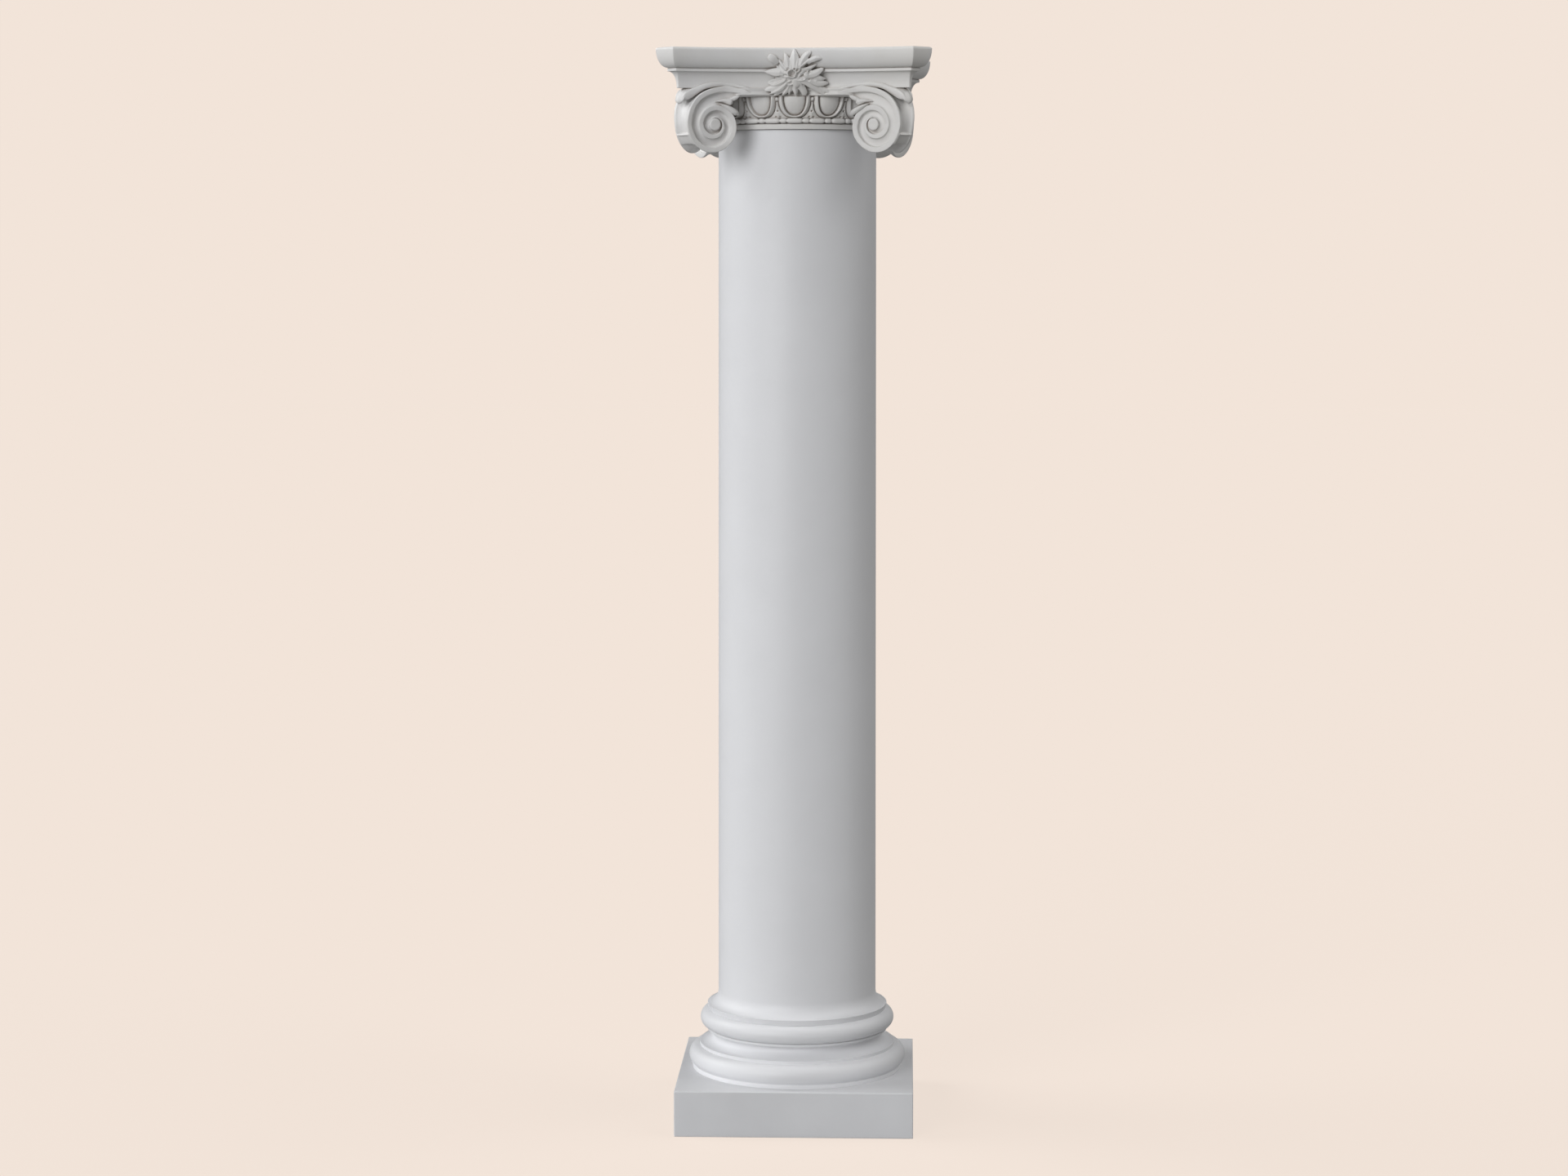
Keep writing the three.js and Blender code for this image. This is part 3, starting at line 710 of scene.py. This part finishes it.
def voluteCorner():
    # Two spiral faces and the grooved roll between their rims, as grids that share their edges. The roll's
    # points are shares of the way from one face's rim to the other's, pushed in by the groove.
    turns, outer, face = voluteFace()
    start = volute["start"]
    count = int(np.searchsorted(turns, start + 1 - 1e-6)) + 1
    rollTurns, rim = turns[:count, None], outer[:count]
    lips, middle = np.linspace(0, 0.12, 9)[1:], np.linspace(0.12, 0.88, 29)[1:]
    sweep = np.concatenate([lips, middle, np.linspace(0.88, 1, 9)[1:-1]])[None, :]
    fromEdge = np.minimum(sweep, 1 - sweep)
    lip = 1.4 * np.sin(np.clip(fromEdge / 0.05, 0, 1) * math.pi / 2) - 0.8 * smoothStep(0.045, 0.085, fromEdge)
    hollow = 1 - np.abs(2 * sweep - 1) ** 3.0
    # A flat strap crosses the groove, with a raised lip along its upper edge
    strapHead, strapFoot = volute["strap"]
    strap = smoothStep(strapHead, strapHead + 0.006, rollTurns) * smoothStep(strapFoot, strapFoot - 0.004, rollTurns)
    strapLip = 2.4 * np.exp(-((rollTurns - strapHead - 0.007) / 0.0055) ** 2)
    groove = volute["groove"] * (1 - strap) + 0.8 * strap - strapLip
    groove = groove + 2.0 * smoothStep(strapFoot - 0.01, strapFoot, rollTurns)
    rollRadius = rim + (lip - groove * hollow) * smoothStep(start, start + 0.05, rollTurns)
    rollRelief = volute["edge"] - 3.5 * np.sin(np.clip(fromEdge / 0.1, 0, 1) * math.pi / 2)
    near = spiralPoint(rollTurns, rollRadius, rollRelief)
    weight = sweep[..., None]
    frontEdge = face[:count, :1]
    roll = near * (1 - weight) + mirrorCorner(near) * weight
    roll = np.concatenate([frontEdge, roll, mirrorCorner(frontEdge)], 1)

    # The back, from the arm's first section across to the other face's
    sweepFull = np.concatenate([[0], sweep[0], [1]])[None, :, None]
    frontChain = np.concatenate([face[0], face[count - 1, :1]])[:, None]
    back = frontChain * (1 - sweepFull) + mirrorCorner(frontChain) * sweepFull
    back[0], back[-1] = roll[0], roll[-1]
    side = [sheet(face), voluteEye()]
    mirroredSide = [(mirrorCorner(points), faces) for points, faces in side]
    return joined(side + mirroredSide + [sheet(roll), sheet(back)])


canal = {
    "rise": [59.0, 60.8, 61.8, 63.2, 65.0, 67.5, 70.5, 73.4],
    "middle": [-4.0, 3.0, 5.0, 3.6, 1.8, 1.4, 3.2, 7.0],
    "behindArm": [-3.0, 5.0, 8.0, 7.6, 6.2, 5.4, 6.0, 8.0],
}


def canalRing():
    # A hollowed band under the abacus on all four sides, which comes forward behind the arms.
    rise, middle, padded = [np.array(canal[key])[None, :] for key in ("rise", "middle", "behindArm")]
    along = np.linspace(-150, 150, 97)[:, None]
    away = np.abs(along)
    behindArm = smoothStep(25, 70, away) * smoothStep(128, 112, away)
    relief = middle + (padded - middle) * behindArm - 12.0 * smoothStep(110, 125, away)
    return fourSided(facePoint(along, rise, relief))


addPiece("canalRing", canalRing(), "capital", capitalPlaster)
corner = voluteCorner()
addPiece("volutes", joined([turned(corner, turn) for turn in range(4)]), "capital", capitalPlaster, weld=True)
print("volutes built")


def leafSolid(spine, side, out, halfWidth, top, bottom, ridge=0.0, power=2.0, sections=24, grooves=0):
    # A closed lobe along a spine. Each section is a rounded lens, half width times cos a across and
    # (1 - cos a ^ power) ^ (1 / power) times top or bottom high, with a ridge and fine grooves on its top.
    angle = np.arange(sections) * fullTurn / sections
    across = np.cos(angle)[None, :]
    upper = np.sin(angle)[None, :] >= 0
    bulge = np.clip(1 - np.abs(across) ** power, 0, 1) ** (1 / power)
    sizes = np.broadcast_arrays(halfWidth, top, bottom, ridge, np.zeros(len(spine)))[:4]
    halfWidth, top, bottom, ridge = [size[:, None] for size in sizes]
    fine = 0.45 * (grooves > 0) * np.sin(math.pi * (grooves + 1) * across) ** 2
    height = np.where(upper, top * bulge + ridge * (1 - np.abs(across)) - fine, -bottom * bulge)
    grid = spine[:, None] + side[:, None] * (halfWidth * across)[..., None] + out[:, None] * height[..., None]
    return ringStack(grid)


def unit(vectors):
    # Each vector divided by its length.
    return vectors / np.linalg.norm(vectors, axis=-1, keepdims=True)


leaf = {
    "turnAt": [-0.17, -0.159, -0.105, -0.056, 0, 0.05, 0.08, 0.1, 0.12, 0.135, 0.147, 0.154],
    "spineAt": [111.5, 104.5, 85.4, 76.9, 72.0, 71.4, 71.0, 71.8, 73.4, 74.8, 76.4, 77.0],
    "halfAt": [2.0, 2.8, 4.0, 4.6, 5.2, 5.4, 6.6, 7.8, 8.4, 7.6, 4.4, 0.8],
    "reliefAt": [-1.0, -1.0, -1.0, -1.0, -1.5, -2.5, -4.0, -5.5, -6.5, -7.0, -7.5, -7.5],
    "topAt": [3.6, 5.0, 7.0, 7.0, 6.6, 5.6, 4.6, 4.2, 4.0, 3.6, 2.6, 0.6],
    "bottomAt": [6.0, 6.0, 9.0, 10.0, 10.0, 9.0, 7.0, 5.0, 4.5, 4.0, 3.0, 0.6],
    "tongue": [(250, 74), (266, 73.5), (280, 69.5), (290, 62), (295.5, 54), (297, 48.5), (295, 45)],
    "tongueHalf": [12.0, 12.5, 13.0, 13.0, 12.0, 9.5, 3.0],
    "tongueThick": [6.0, 6.0, 6.0, 5.6, 5.2, 4.0, 1.0],
}


def stripAndSideLobe():
    # The strip on the arm's outer edge, which widens past the volute's top into the leaf's side lobe.
    turns = np.linspace(leaf["turnAt"][0], leaf["turnAt"][-1], 90)
    spread, relief = [throughPoints(turns, leaf["turnAt"], leaf[key]) for key in ("spineAt", "reliefAt")]
    half, top, bottom = [np.interp(turns, leaf["turnAt"], leaf[key]) for key in ("halfAt", "topAt", "bottomAt")]
    spine = spiralPoint(turns, spread, relief)
    side = unit(spiralPoint(turns, spread + 1, relief) - spine)
    out = unit(spiralPoint(turns, spread, relief + 1) - spine)
    return leafSolid(spine, side, out, half, top, bottom, 0.6, 2.8)


def centreTongue():
    # In the upright plane through the corner: out under the abacus, then over and down.
    knots = np.arange(len(leaf["tongue"]))
    share = np.linspace(0, knots[-1], 60)
    reach, height = [throughPoints(share, knots, places) for places in zip(*leaf["tongue"])]
    half = throughPoints(share, knots, leaf["tongueHalf"])
    thick = throughPoints(share, knots, leaf["tongueThick"])
    diagonal = np.array([1, -1, 0]) / math.sqrt(2)
    spine = diagonal * reach[:, None] + np.array([0, 0, 1]) * (height + capitalFoot)[:, None]
    along = unit(np.gradient(spine, axis=0))
    side = np.broadcast_to(np.array([1, 1, 0]) / math.sqrt(2), spine.shape)
    out = unit(np.cross(side, along))
    out = np.where((out @ diagonal)[:, None] < 0, -out, out)
    return leafSolid(spine, side, out, half, thick * 0.35, thick, 3.6, 2.4)


def faceLeaf(path, halfWidths, top, bottom, ridge):
    # A lobe on the volute's face; the path's rows are the distances along and up from the eye, and the relief.
    knots = np.arange(len(path))
    share = np.linspace(0, knots[-1], 48)
    along, height, relief = [throughPoints(share, knots, places) for places in zip(*path)]
    along, height = along + volute["eyeAlong"], height + volute["eyeHeight"]
    spine = facePoint(along, height, relief)
    out = unit(facePoint(along, height, relief + 1) - spine)
    side = unit(np.cross(out, unit(np.gradient(spine, axis=0))))
    half = throughPoints(share, knots, halfWidths)
    end = np.clip((knots[-1] - share) / 0.6, 0, 1) ** 0.5
    return leafSolid(spine, side, out, half * np.maximum(end, 0.05), top * end, bottom * end, ridge * end, 2.2)


# Lobes beside each volute: path, half widths, top, bottom, ridge
palmette = [
    (
        [(-22, 43.5, 5), (-31, 45.5, 5), (-39, 49, 4.5), (-48, 54, 3)],
        [1.5, 3.6, 4.2, 2.5], 2.4, 14.0, 0.8,
    ),
    (
        [(-1, 41.5, 1), (-9, 42.6, 4), (-18, 42.8, 6), (-27, 41.4, 7), (-34.5, 40.0, 5)],
        [0.8, 2.4, 4.2, 6.0, 6.4], 2.8, 18.0, 2.4,
    ),
    (
        [(-7, 37.5, 4), (-17, 34.3, 7), (-27, 29.6, 8), (-37, 24, 6), (-48, 18.5, -1)],
        [0.8, 3.0, 4.4, 5.2, 5.2], 3.6, 18.0, 2.2,
    ),
]


def cornerLeaves():
    # One face's strip and lobes, their mirror image on the other face, and the tongue between them.
    half = [stripAndSideLobe()] + [faceLeaf(*lobe) for lobe in palmette]
    mirrored = [(mirrorCorner(points), faces) for points, faces in half]
    return joined(half + mirrored + [centreTongue()])


leaves = cornerLeaves()
addPiece("cornerLeaves", joined([turned(leaves, turn) for turn in range(4)]), "capital", capitalPlaster, weld=True)
print("leaves built")


flower = {
    "beside": -3.5,
    "height": 98.5,
    "bedHeight": [40, 60, 73, 100, 108, 125, 146],
    "bedReach": [173, 174, 176, 188, 192, 199, 205],
    "voxel": 1.0,
}

# Petals: root and tip beside and above the heart, half width, lift at root, middle and tip, ridge, taper, bend
# to one side, grooves
petals = [
    ((4.5, 10), (4.5, 46.5), 10.0, (15, 10, 5), 4.6, 0.8, 0.0, 0),
    ((15, 15), (35.8, 41), 6.6, (14, 12, 7), 3.0, 0.45, 3.0, 0),
    ((-7, 11), (-14.8, 39.5), 6.6, (14, 11, 6), 3.4, 0.8, -1.5, 0),
    ((-15, 7), (-30, 21), 6.4, (11, 8, 9), -2.0, 0.3, -1.0, 0),
    ((-27, 18), (-43, 33), 7.6, (8, 15, 12), 0.6, 0.28, -1.0, 0),
    ((-10, 7), (-26, 28), 4.2, (15, 11, 6), 2.6, 0.8, 0.0, 0),
    ((-16, 2.5), (-51.5, 4.8), 8.2, (13, 11, 5), 2.0, 0.75, 0.0, 1),
    ((-14, -8), (-45.5, -14.5), 6.8, (13, 9, 7), -3.0, 0.4, 2.5, 0),
    ((-11, -10), (-41, -21), 3.6, (15, 12, 8), 2.4, 0.6, 2.0, 0),
    ((-12, -14), (-52, -28), 6.6, (11, 9, 7), 1.4, 0.35, 2.0, 1),
    ((-10, -16), (-44, -35.5), 5.0, (13, 11, 6), 2.8, 0.8, 3.0, 0),
    ((-8, -19), (-37, -39.5), 4.6, (9, 7, 5), 2.2, 0.8, 1.5, 0),
    ((-5, -19), (-20, -38.5), 4.8, (11, 9, 6), 2.6, 0.8, 1.5, 0),
    ((-2, -20), (-7, -37.5), 4.0, (10, 9, 7), 2.2, 0.8, 0.0, 0),
    ((5, -19), (6.5, -39.8), 5.6, (12, 10, 8), 3.0, 0.8, 0.0, 0),
    ((14, -16), (24.5, -37.8), 6.8, (11, 10, 8), 1.2, 0.3, 0.0, 0),
    ((16, -9), (59.5, -37), 9.8, (12, 9, 6), 2.0, 0.6, 4.5, 2),
    ((34, -20), (76, -37.5), 5.6, (7, 5, 3), 1.4, 0.8, 3.0, 0),
    ((32, -11), (66, -15.5), 6.8, (12, 10, 7), 2.2, 0.5, -2.5, 0),
    ((36, -1), (62, -8), 5.8, (10, 9, 6), 2.0, 0.7, -2.0, 0),
    ((22, -3), (57.5, 11), 7.4, (14, 12, 7), 2.2, 0.45, -3.0, 0),
    ((20, 7), (48, 21), 3.8, (13, 10, 6), 2.4, 0.7, -2.0, 0),
    ((18, 8), (42, 15), 3.2, (14, 11, 7), 2.2, 0.7, -1.0, 0),
    ((12, 8), (24, 19), 5.0, (13, 11, 7), 1.2, 0.5, 0.0, 1),
    ((15, 2), (34, 8), 5.0, (13, 12, 8), 1.2, 0.5, 0.0, 1),
    ((-6, 6), (-14, 18), 5.0, (13, 11, 7), 1.6, 0.6, 0.0, 0),
    ((-10, 3), (-24, 10), 4.6, (13, 11, 7), 1.6, 0.6, 0.0, 0),
    ((12, -6), (27, 7.5), 3.6, (14, 16, 14), 2.0, 0.6, 3.0, 0),
    ((28, 20), (57.8, 27), 5.8, (10, 12, 7), 2.4, 0.45, 4.0, 0),
    ((15, 12), (33.5, 27), 3.0, (16, 15, 11), 2.6, 0.6, 0.0, 0),
    ((11, 13), (29, 33.5), 2.8, (15, 13, 9), 2.4, 0.6, 0.0, 0),
    ((8, 9), (12.5, 32), 5.0, (17, 14, 8), 3.2, 0.8, 0.5, 0),
    ((-2, 9), (-4.5, 29), 5.0, (16, 12, 7), 2.8, 0.8, 0.0, 0),
    ((20, -8), (46, -11.5), 4.8, (14, 14, 11), -1.6, 0.4, 0.0, 0),
    # The inner ring
    ((-23, 3.5), (-8.5, 0.5), 3.4, (13, 16, 19), 2.2, 0.6, 0.0, 0),
    ((-19, -3.0), (-7.0, -6.0), 3.0, (12, 16, 18), 2.0, 0.6, 0.0, 0),
    ((8, -9.5), (28.5, 4.0), 4.0, (16, 19, 17), -2.0, 0.45, -6.0, 0),
    ((16, -8), (32, -1.5), 3.4, (14, 15, 13), 1.6, 0.5, -5.0, 0),
    ((-13, -9.5), (-3, -13.0), 2.6, (13, 17, 16), 1.6, 0.5, -2.5, 0),
    ((-11, -15), (0.5, -18), 2.8, (12, 16, 15), 1.6, 0.5, -2.5, 0),
    ((6.5, -9), (7.5, -24.5), 6.6, (15, 18, 13), 0.8, 0.3, 0.0, 0),
    ((11, -11), (20, -25), 3.2, (14, 14, 9), 2.0, 0.7, 1.0, 0),
]


def flowerPoint(beside, above, lift):
    # The flower lies on a bed that leans out with the abacus's face.
    height = above + flower["height"]
    reach = np.interp(height, flower["bedHeight"], flower["bedReach"]) + lift
    return np.stack(np.broadcast_arrays(beside + flower["beside"], -reach, height + capitalFoot), -1)


def petalSolid(root, tip, half, lift, ridge, taper, bend, grooves):
    # A lobe whose spine bends by bend times sin(pi t) and lifts off the bed, as wide as (1 - t) ^ taper at its
    # tip, and thick enough to reach down to the bed.
    share = np.linspace(0, 1, 26)
    root, tip = np.array(root, float), np.array(tip, float)
    way = (tip - root) / np.linalg.norm(tip - root)
    aside = np.array([-way[1], way[0]])
    place = root + (tip - root) * share[:, None] + aside * (bend * np.sin(math.pi * share))[:, None]
    tipShare = 0.42 if lift[2] < 10 else 0.92
    rise = throughPoints(share, [0, 0.5, 1], [0.95 * lift[0], 0.76 * lift[1], tipShare * lift[2]])
    spine = flowerPoint(place[:, 0], place[:, 1], rise)
    forward = unit(np.gradient(spine, axis=0))
    flat = np.gradient(place, axis=0)
    side = unit(np.stack([-flat[:, 1], 0 * share, flat[:, 0]], -1))
    out = unit(np.cross(forward, side))
    out = np.where(out[:, 1:2] > 0, -out, out)
    grow = 0.55 + 0.45 * np.sin(np.clip(share / 0.9, 0, 1) * math.pi / 2)
    width = np.maximum(1.12 * half * grow * np.clip((1 - share) / 0.6, 0.0, 1) ** taper, 0.4)
    thick = np.maximum(0.6, 2.4 * np.clip((1 - share) / 0.2, 0, 1) ** 0.5)
    roof = ridge * np.clip((1 - share) / 0.3, 0.2, 1)
    return leafSolid(spine, side, out, width, thick * 0.25, thick + 0.6 * rise, roof, 2.6, 36, grooves)


def revolved(beside, above, profile, squeeze=1.0, tilt=0.0, lobes=0.0):
    # A solid turned about a line that points out of the bed, squeezed across its tilt, whose radius swells by
    # lobes times cos 5a. The profile's rows are radius and lift.
    angle = np.arange(40) * fullTurn / 40
    radius, lift = np.array(profile, float).T[:, :, None]
    reach = radius * (1 + lobes * np.cos(5 * angle - math.pi / 2))
    along, across = reach * np.cos(angle), squeeze * reach * np.sin(angle)
    c, s = math.cos(math.radians(tilt)), math.sin(math.radians(tilt))
    x, z = beside + along * c - across * s, above + along * s + across * c
    return ringStack(flowerPoint(x, z, lift + 0 * angle))


cup = [(10.0, 2), (9.6, 12), (9.1, 16.0), (8.4, 18.0), (7.4, 18.5), (6.5, 17.2), (5.8, 12.0), (4.8, 9.0), (2.4, 8.2)]
loop = [(7.2, 6), (6.8, 14), (6.2, 17.2), (5.0, 18.0), (3.8, 17.2), (3.0, 14.4), (1.2, 13.8)]
mound = [(32, -8), (30, 2), (26, 5.5), (21, 9.0), (17, 11.6), (12, 13.2), (8.5, 13.0), (6, 9.0), (3, 8.0)]


def flowerParts():
    # The petals, the open cup at the heart, the curled petal beside it, and the mound they all stand on.
    parts = [petalSolid(*petal) for petal in petals]
    parts.append(revolved(-0.4, 0.4, cup, 0.95, 0, 0.04))
    parts.append(revolved(10.2, 6.4, loop, 0.6, 40))
    parts.append(revolved(-0.4, 0.4, mound))
    return parts


def castSolid(parts, voxel, passes):
    # The overlapping closed parts become one skin, which is then smoothed as in a plaster cast.
    points, faces = joined(parts)
    mesh = bpy.data.meshes.new("castSkin")
    mesh.from_pydata((points * mm).tolist(), [], [face for block in faces for face in block.tolist()])
    body = bmesh.new()
    body.from_mesh(mesh)
    bmesh.ops.recalc_face_normals(body, faces=body.faces)
    body.to_mesh(mesh)
    body.free()
    skin = bpy.data.objects.new("castSkin", mesh)
    bpy.context.scene.collection.objects.link(skin)
    remesh = skin.modifiers.new("skin", "REMESH")
    remesh.mode = "VOXEL"
    remesh.voxel_size = voxel * mm
    smooth = skin.modifiers.new("smooth", "SMOOTH")
    smooth.factor = 0.5
    smooth.iterations = passes
    result = skin.evaluated_get(bpy.context.evaluated_depsgraph_get()).to_mesh()
    flat = np.empty(len(result.vertices) * 3)
    result.vertices.foreach_get("co", flat)
    quads = np.array([list(face.vertices) for face in result.polygons if len(face.vertices) == 4])
    bpy.data.objects.remove(skin, do_unlink=True)
    return flat.reshape(-1, 3) / mm, [quads]


blossom = castSolid(flowerParts(), flower["voxel"], 2)
for turn in range(4):
    addPiece(f"flower{turn + 1}", turned(blossom, turn), "capital", capitalPlaster)
print("flowers built", len(blossom[1][0]))


stage = {
    "floorSize": 60.0,
    "backTone": (0.887, 0.776, 0.694),
    "ambient": (0.178, 0.176, 0.172),
    "bounce": (0.26, 0.2574, 0.2522),
    "glow": 0.838,
    "shade": 0.2,
}


def unlessSeen(tree, seen, unseen, output):
    # What the camera sees directly has the backdrop's own tone; what lights the object is neutral.
    nodes, links = tree.nodes, tree.links
    path = nodes.new("ShaderNodeLightPath")
    choice = nodes.new("ShaderNodeMixShader")
    links.new(path.outputs["Is Camera Ray"], choice.inputs["Fac"])
    links.new(unseen, choice.inputs[1])
    links.new(seen, choice.inputs[2])
    links.new(choice.outputs["Shader"], output.inputs["Surface"])


def addFloor():
    # A pale square of paper, in metres, that meets the world in one tone.
    mesh = bpy.data.meshes.new("floor")
    half = stage["floorSize"] / 2
    mesh.from_pydata([(-half, -half, 0), (half, -half, 0), (half, half, 0), (-half, half, 0)], [], [(0, 1, 2, 3)])
    material = bpy.data.materials.new("floorPaper")
    material.use_nodes = True
    tree = material.node_tree
    output = tree.nodes["Material Output"]
    tree.nodes.remove(tree.nodes["Principled BSDF"])
    glow = tree.nodes.new("ShaderNodeEmission")
    glow.inputs["Color"].default_value = (*stage["backTone"], 1)
    glow.inputs["Strength"].default_value = stage["glow"]
    paper = tree.nodes.new("ShaderNodeBsdfDiffuse")
    paper.inputs["Color"].default_value = (*[stage["shade"] * tone for tone in stage["backTone"]], 1)
    both = tree.nodes.new("ShaderNodeAddShader")
    tree.links.new(glow.outputs[0], both.inputs[0])
    tree.links.new(paper.outputs[0], both.inputs[1])
    grey = tree.nodes.new("ShaderNodeBsdfDiffuse")
    grey.inputs["Color"].default_value = (*stage["bounce"], 1)
    unlessSeen(tree, both.outputs[0], grey.outputs[0], output)
    mesh.materials.append(material)
    floor = bpy.data.objects.new("floor", mesh)
    bpy.context.scene.collection.objects.link(floor)


def addSun(name, azimuth, elevation, strength, softness, tone, glossy=True):
    # A broad distant light, from this bearing round from the viewer's side and this height above level.
    lamp = bpy.data.lights.new(name, "SUN")
    lamp.energy = strength
    lamp.angle = math.radians(softness)
    lamp.color = tone
    light = bpy.data.objects.new(name, lamp)
    light.rotation_euler = (math.radians(90 - elevation), 0, math.radians(azimuth))
    light.visible_glossy = glossy
    bpy.context.scene.collection.objects.link(light)


view = {
    "distance": 6.467,
    "height": 1.656,
    "azimuth": 1.8,
    "axisPixel": 976.3,
    "horizonPixel": 310,
    "focalPixels": 4150,
}


def addCamera():
    # Turned and tilted so that the column's axis and the horizon fall on these columns and rows of the photograph.
    lens = bpy.data.cameras.new("camera")
    lens.lens = view["focalPixels"] / photoWidth * lens.sensor_width
    lens.clip_end = 100
    camera = bpy.data.objects.new("camera", lens)
    azimuth = math.radians(view["azimuth"])
    pitch = math.atan((photoHeight / 2 - view["horizonPixel"]) / view["focalPixels"])
    yaw = math.atan((view["axisPixel"] - photoWidth / 2) / view["focalPixels"])
    distance = view["distance"]
    camera.location = (distance * math.sin(azimuth), -distance * math.cos(azimuth), view["height"])
    camera.rotation_euler = (math.pi / 2 - pitch, 0, azimuth + yaw)
    bpy.context.scene.collection.objects.link(camera)
    bpy.context.scene.camera = camera


def addWorld():
    # The backdrop for the camera, and an even neutral light for the object.
    world = bpy.data.worlds.new("studio")
    world.use_nodes = True
    tree = world.node_tree
    seen = tree.nodes["Background"]
    seen.inputs["Color"].default_value = (*stage["backTone"], 1)
    unseen = tree.nodes.new("ShaderNodeBackground")
    unseen.inputs["Color"].default_value = (*stage["ambient"], 1)
    unlessSeen(tree, seen.outputs[0], unseen.outputs[0], tree.nodes["World Output"])
    bpy.context.scene.world = world


bpy.context.scene.view_settings.view_transform = "Standard"
addWorld()
addFloor()
addSun("keyLight", -30, 14, 1.75, 35, (0.985, 0.99, 1.0))
addSun("sideLight", -100, 32, 1.45, 40, (0.985, 0.995, 1.0))
addSun("topLight", 88, 50, 1.02, 45, (1.0, 0.995, 0.985))
addSun("backLight", 180, 3, 0.45, 16, (0.99, 0.995, 1.0), glossy=False)
addCamera()
print("stage set")
